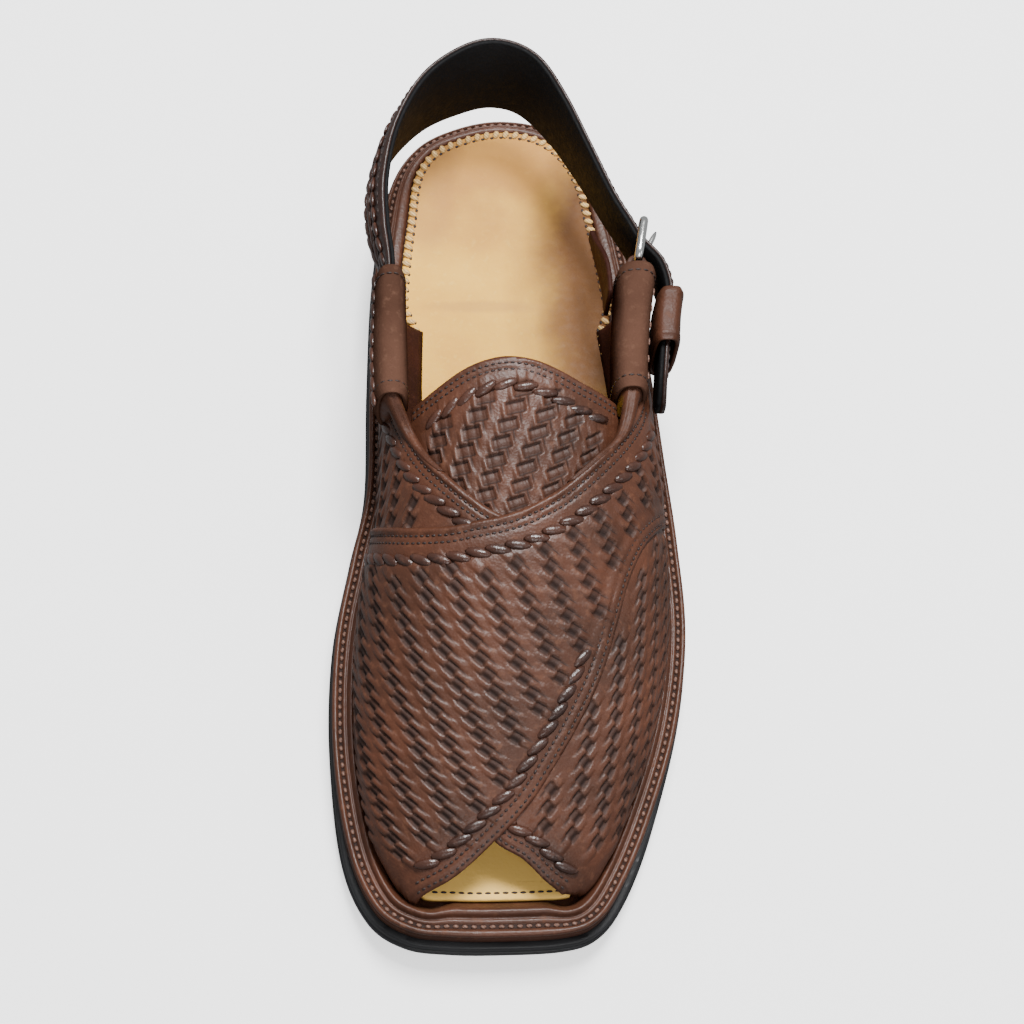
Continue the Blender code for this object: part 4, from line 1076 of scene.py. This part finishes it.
def sole_proud(y):
    """How far the rubber stands out past the leather rim, more at the toe."""
    return 1.0 + 1.6 * smooth_step((-80.0 - y) / 50.0)


class MakeOutsole(Maker):
    """Rubber sheet with a stepped, rounded edge"""
    bl_idname = "chappal.make_outsole"
    bl_label = "Outsole"

    def execute(self, context):
        proud = sole_proud(RIM_LINE[:, 1])
        levels = (
            (2.2, 0.0), (1.2, 0.0), (0.5, 0.3), (0.1, 0.9), (0.0, 1.5), (0.0, 3.3), (0.15, 3.5), (0.5, 3.65),
            (0.55, 3.9), (0.5, 5.8), (0.7, 6.3), (1.2, OUTSOLE_THICKNESS), (3.0, OUTSOLE_THICKNESS))
        lines = [inset_rim(cut - proud) for cut, height in levels]
        bm = bmesh.new()
        stacked_skin(bm, lines, levels)
        bend_to_sole(bm)
        finished(bm, "outsole_rubber", finish_of("rubber"), ("outsole",))
        return {"FINISHED"}


class MakeHeel(Maker):
    """Low rubber block with a straight breast"""
    bl_idname = "chappal.make_heel"
    bl_label = "Heel"

    def execute(self, context):
        def behind(distance):
            line = inset_rim(distance)
            kept = line[RIM_LINE[:, 1] > HEEL_BREAST + 2.0]
            return np.vstack([[kept[0][0] + 0.5, HEEL_BREAST], kept, [kept[-1][0] - 0.2, HEEL_BREAST]])
        levels = ((1.4, 0.0), (0.4, 0.0), (-0.3, 0.3), (-0.7, 0.9), (-0.8, 1.4), (-0.8, 6.0), (-0.7, 6.3),
                  (-0.4, 6.5), (-0.4, HEEL_LIFT - GAP))
        lines = [behind(cut) for cut, height in levels]
        bm = bmesh.new()
        stacked_skin(bm, lines, levels)
        item = finished(bm, "heel_rubber", finish_of("rubber"), ("heel",))
        item.data.set_sharp_from_angle(angle=math.radians(50))
        return {"FINISHED"}


class MakeMidsole(Maker):
    """Leather-covered plate with a rolled edge"""
    bl_idname = "chappal.make_midsole"
    bl_label = "Midsole"

    def execute(self, context):
        low = OUTSOLE_THICKNESS + GAP
        levels = (
            (1.0, low - 0.25), (0.3, low - 0.1), (0.0, low + 0.5), (0.0, SEAT - 1.0), (0.2, SEAT - 0.4),
            (0.8, SEAT), (2.5, SEAT))
        lines = [inset_rim(cut) for cut, height in levels]
        bm = bmesh.new()
        stacked_skin(bm, lines, levels)
        bend_to_sole(bm)
        finished(bm, "midsole_cover", finish_of("shaded_plain_leather"), ("midsole",))
        return {"FINISHED"}


def at_toe_opening(points, half=22.0):
    """1 where the welt passes the open toe, 0 elsewhere."""
    middle = smooth_step((half - np.abs(points[:, 0] - TOE_MIDDLE)) / 9.0)
    return middle * smooth_step((-125.0 - points[:, 1]) / 8.0)


def at_seat(points):
    """1 round the heel, where no upper stands on the welt, 0 along the upper."""
    return smooth_step((points[:, 1] - 61.0) / 6.0)


def welt_width(points):
    """Width of the welt at each point of the rim."""
    slim = smooth_step((points[:, 1] - 100.0) / 38.0)
    return WELT_WIDTH + TOE_WELT_EXTRA * at_toe_opening(points) - HEEL_WELT_CUT * slim


class MakeWelt(Maker):
    """Stitched welt: rolled outside edge, channel with stitches, raised bead inside"""
    bl_idname = "chappal.make_welt"
    bl_label = "Welt"

    def execute(self, context):
        width = welt_width(RIM_LINE)
        bead = BEAD_HEIGHT * (1.0 - smooth_step((RIM_LINE[:, 1] - 50.0) / 12.0))
        # Share of the welt's width, height as a share of the welt's, and share of the bead on top
        rows = (
            (0.05, -0.1, 0), (0.0, 0.5, 0), (0.02, 0.8, 0), (0.07, 1.02, 0), (0.13, 1.06, 0), (0.18, 1.0, 0),
            (0.205, 0.8, 0), (0.24, 0.66, 0), (WELT_CHANNEL, 0.62, 0), (0.34, 0.66, 0), (0.375, 0.8, 0),
            (0.40, 1.0, 0), (0.44, 1.06, 0), (0.49, 1.0, 0), (0.53, 0.8, 0.1), (0.555, 0.84, 0.3),
            (0.59, 0.95, 0.7), (0.64, 1.0, 0.95), (0.68, 1.0, 1.03), (0.73, 1.0, 0.98), (0.79, 0.95, 0.75),
            (0.86, 0.9, 0.5), (0.93, 0.8, 0.25), (0.99, 0.5, 0), (0.99, -0.1, 0))
        lines = [inset_rim(row[0] * width) for row in rows]

        def place(column, row):
            x, y = lines[row][column]
            height = rows[row][1] * WELT_HEIGHT + rows[row][2] * bead[column]
            return (x, y, SEAT + GAP * 0.3 + height + float(sole_lift(y)))

        bm = bmesh.new()
        # The stitch channel's rows carry painted shade, which the woven leather's finish darkens
        skin(bm, len(RIM_LINE), len(rows), place, closed_rows=True, dark=lambda row: 0.85 * (6 < row < 10))
        finished(bm, "welt_leather", finish_of("woven_leather"), ("welt",))

        line = inset_rim(WELT_CHANNEL * width)
        line = np.vstack([line, line[:1]])
        spots = np.column_stack([line, SEAT + 0.74 * WELT_HEIGHT + GAP * 0.3 + sole_lift(line[:, 1])])
        bm = bmesh.new()
        stitch_line(bm, spots, upright(spots), sizes().welt_pitch, WELT_STITCH)
        finished(bm, "welt_stitches", finish_of("welt_thread"))
        return {"FINISHED"}


class MakeInsole(Maker):
    """Footbed of natural leather with a whip-stitched edge"""
    bl_idname = "chappal.make_insole"
    bl_label = "Insole"

    def execute(self, context):
        bare = np.maximum(at_toe_opening(RIM_LINE), at_seat(RIM_LINE))
        tucked = 1.0 - (TOE_WELT_EXTRA - GAP) / UPPER_ROOM
        bare = np.maximum(bare, at_toe_opening(RIM_LINE, 34.0) * (tucked + (1.0 - tucked) * bare))
        edge = welt_width(RIM_LINE) + GAP + UPPER_ROOM * (1.0 - bare)
        low = SEAT + GAP
        top = low + INSOLE_THICKNESS
        levels = ((0.0, low - 0.2), (0.0, top - 0.9), (0.15, top - 0.35), (0.6, top), (2.0, top + 0.1),
                  (5.0, top - 0.1))
        lines = [inset_rim(edge + cut) for cut, height in levels]
        bm = bmesh.new()
        stacked_skin(bm, lines, levels)
        bend_to_sole(bm)
        finished(bm, "insole_leather", finish_of("footbed"), ("insole",))
        self.sew_edging(edge)
        return {"FINISHED"}

    def sew_edging(self, edge):
        """Whip stitches round the seat, and a dark row behind the open toe."""
        def row(cut, kept, rise):
            line = inset_rim(edge + cut)[kept]
            return np.column_stack([line, SEAT + GAP + INSOLE_THICKNESS + rise + sole_lift(line[:, 1])])

        seat = RIM_LINE[:, 1] > np.where(RIM_LINE[:, 0] > 0, 48.0, 54.0)
        toe = (RIM_LINE[:, 1] < -120.0) & (np.abs(RIM_LINE[:, 0] - TOE_MIDDLE) < 26.0)
        toe_order = np.argsort(RIM_LINE[toe][:, 0])
        loops = bmesh.new()
        points = row(1.3, seat, 0.25)
        stitch_line(loops, points, upright(points), 3.3, WHIP_STITCH, WHIP_TWIST)
        finished(loops, "insole_whip_stitches", finish_of("pale_thread"))
        holes = bmesh.new()
        points = row(2.5, seat, 0.12)
        stitch_line(holes, points, upright(points), 3.2, WHIP_HOLE)
        points = row(2.2, toe, 0.1)[toe_order]
        stitch_line(holes, points, upright(points), 2.6, TOE_STITCH)
        finished(holes, "insole_dark_stitches", finish_of("dark_thread"))


class MakeTopPanel(Maker):
    """Woven panel that lies on top: inner edge of the sole to the outer sleeve"""
    bl_idname = "chappal.make_top_panel"
    bl_label = "Top panel"

    def execute(self, context):
        laced_panel("top_panel", top_outline(), TOP_WEAVE, (TOP_FIELD,),
                    ("top_throat", "top_front"), LAYER_RISE, LEATHER,
                    sizes().weave_crown, finish_of("woven_leather"), ("upper",), base=-0.4)
        return {"FINISHED"}


class MakeUnderPanel(Maker):
    """Woven panel that lies beneath: outer edge of the sole to the inner sleeve"""
    bl_idname = "chappal.make_under_panel"
    bl_label = "Under panel"

    def execute(self, context):
        laced_panel("under_panel", under_outline(), UNDER_WEAVE, (UNDER_FIELD, QUARTER_FIELD),
                    ("under_throat", "under_front"), 0.0, LEATHER,
                    sizes().weave_crown, finish_of("woven_leather"), ("upper",))
        return {"FINISHED"}


class MakeTongue(Maker):
    """Woven tongue with an arched, stitched top edge"""
    bl_idname = "chappal.make_tongue"
    bl_label = "Tongue"

    def execute(self, context):
        laced_panel("tongue_leather", tongue_outline(), TONGUE_WEAVE, (TONGUE_FIELD,),
                    ("tongue",), TONGUE_DEPTH, TONGUE_LEATHER, TONGUE_CROWN,
                    finish_of("woven_leather"), ("tongue",))
        return {"FINISHED"}


def oval(angle, fullness):
    """A point of a unit oval; below 1, fullness squares it up."""
    wide = math.copysign(abs(math.cos(angle)) ** fullness, math.cos(angle))
    return wide, math.copysign(abs(math.sin(angle)) ** fullness, math.sin(angle))


def sleeve_skin(bm, rows, half_height, wall, fullness, around=56, steps=8):
    """An oval leather tube, open at both ends, its rims turned and rounded."""
    line = curve_through(rows, steps)
    last = len(line) - 1
    turned = (0.35, 0.8)
    stations = [(row, 0.0) for row in range(len(line))] + [(last, wall * share) for share in turned]
    stations += [(row, wall) for row in range(last, -1, -1)] + [(0, wall * share) for share in turned[::-1]]
    length = abs(line[-1][0] - line[0][0])

    def place(column, row):
        at, cut = stations[row]
        y, x, z, half_width = line[at]
        from_mouth = abs(y - line[0][0])
        from_rear = length - from_mouth
        grow = -cut
        if not cut:
            for away, rounded in ((from_mouth, 0.9), (from_rear, 0.5)):
                grow += 0.15 * math.exp(-(away - 1.2) ** 2) - rounded * math.exp(-(away / 0.8) ** 2)
                grow -= 0.25 * math.exp(-((away - SLEEVE_SEAM) / 0.5) ** 2)
        out = 0.35 * (0 < cut < wall) * (1 if at else -1)
        wide, tall = oval(2 * math.pi * column / around, fullness)
        return (x + (half_width + grow) * wide, y + out, z + (half_height + grow) * tall)

    skin(bm, around, len(stations), place, closed_rows=True)


def sleeve_section(rows, y):
    """Middle and half width of a sleeve at a station."""
    table = np.array(rows)
    return [float(np.interp(y, table[:, 0], table[:, index])) for index in (1, 2, 3)]


def sleeve_point(rows, y, angle, grow):
    """A point on a sleeve's outside, and its outward direction."""
    x, z, half_width = sleeve_section(rows, y)
    wide, tall = oval(angle, SLEEVE_FULLNESS)
    spot = np.array([x + (half_width + grow) * wide, y, z + (SLEEVE_HALF_HEIGHT + grow) * tall])
    return spot, np.array([wide * SLEEVE_HALF_HEIGHT / half_width, 0, tall])


def sleeve_row(bm, rows, spots, grow, pitch, size, twist=0.0):
    """A row of stitches on a sleeve, through spots given as a station and an angle."""
    both = np.array([np.concatenate(sleeve_point(rows, y, angle, grow)) for y, angle in spots])
    stitch_line(bm, both[:, :3], both[:, 3:], pitch, size, twist)


def sleeve_fold(bm, rows, edge, around=32):
    """Folded leather that runs from a sleeve's mouth into the throat's rolled edge."""
    x, z, half_width = sleeve_section(rows, rows[0][0])
    inside = np.array([x, rows[0][0] + 6.0, z + SLEEVE_HALF_HEIGHT - SLEEVE_WALL - 0.4])
    mouth = inside - (0, 6.1, 0)
    ridge = curve_through(np.vstack([inside, mouth, edge]), 8)
    share = np.clip((mouth[1] - ridge[:, 1]) / (mouth[1] - edge[-1][1]), 0, 1)
    cap = np.exp(-(np.maximum(mouth[1] - ridge[:, 1], 0) / 1.6) ** 2)
    tall = 1.5 + 0.9 * (1 - share) + (SLEEVE_HALF_HEIGHT - SLEEVE_WALL - 2.4) * cap
    wide = 1.2 + 1.5 * (1 - share) + (half_width - SLEEVE_WALL - 2.65) * cap

    def place(column, row):
        across, up = oval(2 * math.pi * column / around, 0.8)
        crease = 0.5 * math.exp(-(across / 0.22) ** 2) * (up > 0) * min(1.0, wide[row] / 2)
        spot = ridge[row] + (0, 0, -tall[row])
        return spot + (wide[row] * across, 0, tall[row] * up - crease)

    skin(bm, around, len(ridge), place)


class MakeSleeves(Maker):
    """Leather sleeves that the back strap passes through, with their seams"""
    bl_idname = "chappal.make_sleeves"
    bl_label = "Sleeves"

    def execute(self, context):
        rings = bmesh.new()
        marks = bmesh.new()
        for name, rows, seamed, throat, height in (
                ("inner_sleeve", SLEEVE_IN, False, UNDER_THROAT, LEATHER),
                ("outer_sleeve", SLEEVE_OUT, True, TOP_THROAT, LAYER_RISE + LEATHER)):
            bm = bmesh.new()
            sleeve_skin(bm, rows, SLEEVE_HALF_HEIGHT, SLEEVE_WALL, SLEEVE_FULLNESS)
            finished(bm, name, finish_of("sleeve_leather"), ("upper",))
            bm = bmesh.new()
            sleeve_fold(bm, rows, lasted_line(curve_through(throat, 6)[[9, 13, 17]], height + 0.3)[0])
            finished(bm, name + "_fold", finish_of("shaded_plain_leather"))
            for y in (rows[0][0] + SLEEVE_SEAM, rows[-1][0] - SLEEVE_SEAM):
                ring = [(y, angle) for angle in np.linspace(0, 2 * math.pi, 90)]
                sleeve_row(rings, rows, ring, -0.1, 2.6, SLEEVE_STITCH)
            if seamed:
                seam = [(y, math.radians(24.0)) for y in np.linspace(rows[0][0] + 6, rows[-1][0] - 8, 30)]
                sleeve_row(marks, rows, seam, 0.1, 6.5, SLEEVE_MARK, 0.25)
        finished(rings, "sleeve_stitches", finish_of("dark_thread"))
        finished(marks, "sleeve_seam_threads", finish_of("welt_thread"))
        return {"FINISHED"}


class MakeLinings(Maker):
    """Leather linings inside the quarters, from the insole up to the sleeves"""
    bl_idname = "chappal.make_linings"
    bl_label = "Quarter linings"

    def execute(self, context):
        half = 10
        foot = SEAT + INSOLE_THICKNESS + 3 * GAP
        for name, side, front, rear, top, spread_foot in (
                ("inner_quarter_lining", -1, 9.0, 57.0, 41.5, 4.6),
                ("outer_quarter_lining", 1, 12.0, 58.5, 43.5, 2.4)):
            stations = np.linspace(front, rear, 26)
            sections = []
            for y in stations:
                girth = np.linspace(girth_at_height(y, side, foot), girth_at_height(y, side, top), half)
                flare = spread_foot * np.linspace(1.0, 0.0, half) ** 0.8
                wall = on_last(girth, np.full(half, y), np.full(half, -0.35))
                face = on_last(girth, np.full(half, y), -1.5 - flare)
                sections.append(np.vstack([wall, face[::-1]]))
            bm = bmesh.new()
            skin(bm, 2 * half, len(stations), lambda column, row: sections[row][column])
            finished(bm, name, finish_of("lining"))
        return {"FINISHED"}


def strap_spots(line, offset, end, swell):
    """Points along the strap at an offset from its middle sheet and a share of its half width."""
    along = np.gradient(line[:, :2], axis=0)
    along /= np.linalg.norm(along, axis=1, keepdims=True)
    outward = np.stack([-along[:, 1], along[:, 0]], 1)
    lean = np.radians(line[:, 4])
    offset = offset + line[:, 5] * swell
    high = end * line[:, 3] / 2
    away = offset * np.cos(lean) + high * np.sin(lean)
    up = high * np.cos(lean) - offset * np.sin(lean)
    return np.column_stack([line[:, :2] + outward * away[:, None], line[:, 2] + up])


def strap_skin(bm, line, corners):
    """The strap's closed skin from its corners."""
    rails = [strap_spots(line, *corner) for corner in corners]
    skin(bm, len(corners), len(line), lambda column, row: rails[column][row])


class MakeBackStrap(Maker):
    """Back strap with a rounded outer face, a dark lining, sewn edges and a laced band"""
    bl_idname = "chappal.make_back_strap"
    bl_label = "Back strap"

    def execute(self, context):
        line = curve_through(STRAP, 8)
        outer = [(STRAP_HALF - 0.7 * abs(end) ** 8, end, 1 - abs(end) ** 2.5)
                 for end in np.linspace(-1, 1, 15)]
        outer = [(-0.1, -1.0, 0.0)] + outer + [(-0.1, 1.0, 0.0)]
        bm = bmesh.new()
        strap_skin(bm, line, outer)
        finished(bm, "strap_leather", finish_of("strap"), ("back_strap",))
        inner = [(-0.2, 0.985, 0.0), (-1.2, 0.985, 0.0), (-STRAP_HALF, 0.94, 0.0)]
        inner += [(offset, -end, swell) for offset, end, swell in inner[::-1]]
        bm = bmesh.new()
        strap_skin(bm, line, inner)
        finished(bm, "strap_lining", finish_of("strap_inner"), ("back_strap",))
        middle = strap_spots(line, 0.0, 0.0, 0.0)
        threads = bmesh.new()
        for end in (-0.8, 0.8):
            points = strap_spots(line, 1.4, end, 1 - abs(end) ** 2.5)
            sewn = slice(26, -18)
            stitch_line(threads, points[sewn], (points - middle)[sewn] * (1, 1, 0), 3.0, STRAP_STITCH)
        finished(threads, "strap_stitches", finish_of("dark_thread"))
        band = bmesh.new()
        for end, twist in ((-0.42, 0.5), (0.0, -0.5), (0.42, 0.5)):
            points = strap_spots(line, 1.55, end, 1 - abs(end) ** 2.5)
            laced = slice(15, 44)
            stitch_line(band, points[laced], (points - middle)[laced] * (1, 1, 0), 5.6, STRAP_LACE, twist)
        finished(band, "strap_laced_band", finish_of("lacing"))
        return {"FINISHED"}


class MakeKeeper(Maker):
    """Leather loop that holds the strap's tail"""
    bl_idname = "chappal.make_keeper"
    bl_label = "Keeper"

    def execute(self, context):
        bm = bmesh.new()
        sleeve_skin(bm, KEEPER, KEEPER_HALF_HEIGHT, KEEPER_WALL, KEEPER_FULLNESS)
        finished(bm, "keeper_loop", finish_of("shaded_plain_leather"), ("keeper",))
        return {"FINISHED"}


def rod_skin(bm, path, radius, around=16, closed=True):
    """A round wire along a path of points and its own outward directions."""
    path = np.array(path, float)
    along = np.roll(path, -1, 0) - np.roll(path, 1, 0) if closed else np.gradient(path, axis=0)
    along /= np.linalg.norm(along, axis=1, keepdims=True)
    flat = np.cross(along[0], along[len(along) // 4] + along[len(along) // 3])
    flat /= np.linalg.norm(flat)
    radii = np.broadcast_to(np.asarray(radius, float), len(path))

    def place(column, row):
        side = np.cross(along[row], flat)
        side /= np.linalg.norm(side)
        third = np.cross(side, along[row])
        angle = 2 * math.pi * column / around
        return path[row] + radii[row] * (side * math.cos(angle) + third * math.sin(angle))

    skin(bm, around, len(path), place, closed_rows=closed)


class MakeBuckle(Maker):
    """Wire frame with a tapered prong"""
    bl_idname = "chappal.make_buckle"
    bl_label = "Buckle"

    def execute(self, context):
        front = np.array(FRONT_BAR)
        rear = np.array(REAR_BAR)
        along = (rear - front) / np.linalg.norm(rear - front)
        self.bend_wire(front, rear, along)
        self.bend_pin(front, rear, along)
        return {"FINISHED"}

    def bend_wire(self, front, rear, along):
        """The upright frame, an oblong of wire with round corners."""
        middle = (front + rear) / 2
        flat_length = np.linalg.norm(rear - front) / 2 - BUCKLE_CORNER
        flat_height = (BUCKLE_TALL - WIRE) / 2 - BUCKLE_CORNER
        path = []
        for sign_y, sign_z, first in ((1, 1, 0), (-1, 1, 90), (-1, -1, 180), (1, -1, 270)):
            for angle in np.radians(first + np.linspace(0, 90, 8)):
                length = sign_y * flat_length + BUCKLE_CORNER * math.cos(angle)
                height = sign_z * flat_height + BUCKLE_CORNER * math.sin(angle)
                path.append((*(middle + along * length), BUCKLE_HEIGHT + height))
        bm = bmesh.new()
        rod_skin(bm, path, WIRE / 2)
        finished(bm, "buckle_wire", finish_of("metal"), ("buckle_frame",))

    def bend_pin(self, front, rear, along):
        """The prong: an eye round the front bar and a tapered pin that rests on the rear one."""
        inner = WIRE / 2 + 0.35 + PRONG
        turn = [(front[0] + inner * math.cos(a), front[1] + inner * math.sin(a), BUCKLE_HEIGHT)
                for a in np.linspace(0, 2 * math.pi, 24, endpoint=False)]
        bm = bmesh.new()
        rod_skin(bm, turn, PRONG, 12)
        start = np.array([*(front + along * (WIRE / 2 + 1.2)), BUCKLE_HEIGHT])
        end = np.array([rear[0] + 5.2, rear[1] + 1.6, BUCKLE_HEIGHT])
        spots = np.array([start + (end - start) * t for t in np.linspace(0, 1, 14)])
        spots[:, 0] += 0.25 * np.sin(np.linspace(0, math.pi, 14))
        radii = np.concatenate([np.linspace(1.15, 0.85, 11), (0.8, 0.62, 0.3)])
        rod_skin(bm, spots, radii, 12, closed=False)
        finished(bm, "buckle_pin", finish_of("metal"), ("buckle_prong",))


def flap_skin(bm, path, low, high, thickness, taper=None):
    """An upright leather flap along a line in plan, with rounded edges."""
    side = beside(path, 1.0) - path
    shape = (
        (0.5, 0.0), (0.5, 0.03), (0.5, 0.5), (0.5, 0.97), (0.36, 0.99), (0.0, 1.0), (-0.36, 0.99),
        (-0.5, 0.97), (-0.5, 0.5), (-0.5, 0.03), (-0.36, 0.01), (0.0, 0.0), (0.36, 0.01))

    def place(column, row):
        off, part = shape[column]
        z = low + (high - low) * part
        if taper:
            z = taper(path[row][1], z)
        x, y = path[row] + side[row] * off * thickness
        return (x, y, z)

    skin(bm, len(shape), len(path), place)


class MakeBuckleLeathers(Maker):
    """Tab folded round the buckle's front bar and the guard flap behind it"""
    bl_idname = "chappal.make_buckle_leathers"
    bl_label = "Buckle leathers"

    def execute(self, context):
        radius = WIRE / 2 + GAP + TAB_LEATHER / 2
        x, y = FRONT_BAR
        legs = [(x - 2.6 - radius * 0.2, y - 22.0), (x - 0.6 - radius, y - 8.0), (x - radius, y - 2.0)]
        fold = [(x - radius * math.cos(a), y + radius * math.sin(a)) for a in np.linspace(0, math.pi, 13)]
        back = [(x + radius, y - 2.0), (x + 1.2, y - 8.0), (x - 0.4, y - 22.0)]
        path = even_line(np.array(legs + fold + back), 1.0)
        bm = bmesh.new()
        for low, high in ((-TAB_HALF_HEIGHT, -TAB_SLOT), (TAB_SLOT, TAB_HALF_HEIGHT)):
            flap_skin(bm, path, BUCKLE_HEIGHT + low, BUCKLE_HEIGHT + high, TAB_LEATHER)
        finished(bm, "buckle_tab_leather", finish_of("shaded_plain_leather"), ("buckle_tab",))

        def pointed(y, z):
            point = float(smooth_step((y - 64.0) / 20.0))
            return 49.0 + (z - 49.0) * (1.0 - 0.7 * point) - 2.5 * point

        bm = bmesh.new()
        flap_skin(bm, curve_through(GUARD, 8), 42.0, 57.0, GUARD_LEATHER, pointed)
        finished(bm, "buckle_guard_leather", finish_of("lining"), ("buckle_guard",))
        return {"FINISHED"}


class MakeLacing(Maker):
    """Twisted lacing along the edges of the panels and the tongue"""
    bl_idname = "chappal.make_lacing"
    bl_label = "Edge lacing"

    def execute(self, context):
        for key, edge in EDGES.items():
            line = beside(curve_through(edge["line"], 6), edge["side"] * edge["lacing"])
            points, ups = lasted_line(line[slice(*edge["laced"])], edge["height"] - 0.1)
            bm = bmesh.new()
            stitch_line(bm, points, ups, sizes().lacing_pitch, EDGE_LACE, -edge["side"] * LACE_TWIST)
            finished(bm, key + "_lacing", finish_of("lacing"))
        outside = [(y, math.radians(168.0)) for y in np.linspace(15.0, 57.0, 30)]
        bm = bmesh.new()
        sleeve_row(bm, SLEEVE_IN, outside, 0.2, 5.2, SLEEVE_LACE, LACE_TWIST)
        finished(bm, "inner_sleeve_lacing", finish_of("lacing"))
        return {"FINISHED"}


class MakeStitches(Maker):
    """Rows of dark stitches along the edges of the panels and tongue"""
    bl_idname = "chappal.make_stitches"
    bl_label = "Stitches"

    def execute(self, context):
        bm = bmesh.new()
        for edge in EDGES.values():
            for distance in (seam[0] for seam in edge["seams"]):
                line = beside(curve_through(edge["line"], 6), edge["side"] * distance)
                points, ups = lasted_line(line[slice(*edge["sewn"])], edge["height"] - 0.12)
                stitch_line(bm, points, ups, sizes().stitch_pitch, UPPER_STITCH)
        finished(bm, "upper_stitches", finish_of("dark_thread"))
        return {"FINISHED"}


def make_floor(scene):
    """A pale matte floor, a hair below the sole."""
    bm = bmesh.new()
    bmesh.ops.create_grid(bm, x_segments=1, y_segments=1, size=3.0)
    bmesh.ops.translate(bm, verts=bm.verts, vec=(0, 0, -0.0003))
    mesh = bpy.data.meshes.new("floor")
    bm.to_mesh(mesh)
    bm.free()
    floor = bpy.data.objects.new("floor", mesh)
    scene.collection.objects.link(floor)
    material = bpy.data.materials.new("floor_finish")
    material.use_nodes = True
    shader = material.node_tree.nodes["Principled BSDF"]
    shader.inputs["Base Color"].default_value = (0.95, 0.95, 0.95, 1)
    shader.inputs["Roughness"].default_value = 0.8
    shader.inputs["Emission Color"].default_value = (1, 1, 1, 1)
    shader.inputs["Emission Strength"].default_value = 1.1
    mesh.materials.append(material)
    floor.visible_diffuse = False
    floor.visible_glossy = False


def make_lamps(scene):
    """A soft room light and three square lamps that look at the shoe."""
    world = bpy.data.worlds.new("studio")
    world.use_nodes = True
    world.node_tree.nodes["Background"].inputs["Color"].default_value = (0.96, 0.98, 1.0, 1)
    world.node_tree.nodes["Background"].inputs["Strength"].default_value = 0.4
    scene.world = world
    for name, spot, size, power in LAMPS:
        light = bpy.data.lights.new(name, "AREA")
        light.shape = "SQUARE"
        light.size = size
        light.energy = power
        lamp = bpy.data.objects.new(name, light)
        lamp.location = spot
        lamp.rotation_euler = (Vector((0, 0, 0.03)) - Vector(spot)).to_track_quat("-Z", "Y").to_euler()
        scene.collection.objects.link(lamp)


def make_camera(scene):
    """A camera that looks steeply down on the shoe from in front of its toe."""
    camera = bpy.data.cameras.new("camera")
    seen = bpy.data.objects.new("camera", camera)
    scene.collection.objects.link(seen)
    spot = Vector(CAMERA_SPOT) * MM + Vector(SHIFT) * MM
    low, high = CAD_BOX
    ahead = (Vector((low + high) / 2) + Vector((0, -0.013, 0)) - spot).normalized()
    right = ahead.cross(Vector(CAMERA_UP)).normalized()
    above = right.cross(ahead)
    seen.matrix_world = Matrix((
        (right.x, above.x, -ahead.x, spot.x), (right.y, above.y, -ahead.y, spot.y),
        (right.z, above.z, -ahead.z, spot.z), (0, 0, 0, 1)))
    camera.lens = 80.0
    camera.sensor_width = 36.0
    camera.clip_start = 0.05
    scene.camera = seen


class MakeStage(Maker):
    """Pale floor, soft studio lights and the camera"""
    bl_idname = "chappal.make_stage"
    bl_label = "Stage"

    def execute(self, context):
        make_floor(context.scene)
        make_lamps(context.scene)
        make_camera(context.scene)
        return {"FINISHED"}


MAKERS = (
    MakeOutsole, MakeHeel, MakeMidsole, MakeWelt, MakeInsole, MakeTopPanel, MakeUnderPanel, MakeTongue,
    MakeSleeves, MakeLinings, MakeBackStrap, MakeKeeper, MakeBuckle, MakeBuckleLeathers, MakeLacing,
    MakeStitches, MakeStage,
)


class ChappalPanel(bpy.types.Panel):
    """Colours, sizes and pieces of the shoe"""
    bl_idname = "VIEW3D_PT_chappal"
    bl_label = "Peshawari Chappal"
    bl_space_type = "VIEW_3D"
    bl_region_type = "UI"
    bl_category = "Chappal"

    def draw(self, context):
        for group in (context.scene.chappal_colours, context.scene.chappal_sizes):
            for key in group.__annotations__:
                self.layout.prop(group, key)
        for maker in MAKERS:
            self.layout.operator(maker.bl_idname)


CLASSES = (ChappalColours, ChappalSizes, *MAKERS, ChappalPanel)


def register():
    """Add the shoe's settings, operators and panel."""
    for item in CLASSES:
        bpy.utils.register_class(item)
    bpy.types.Scene.chappal_colours = bpy.props.PointerProperty(type=ChappalColours)
    bpy.types.Scene.chappal_sizes = bpy.props.PointerProperty(type=ChappalSizes)


def unregister():
    """Remove them again."""
    del bpy.types.Scene.chappal_sizes
    del bpy.types.Scene.chappal_colours
    for item in reversed(CLASSES):
        bpy.utils.unregister_class(item)


def main():
    """Make every piece, then the stage."""
    register()
    for maker in MAKERS:
        area, name = maker.bl_idname.split(".")
        getattr(getattr(bpy.ops, area), name)()
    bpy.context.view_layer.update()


if __name__ == "__main__":
    main()
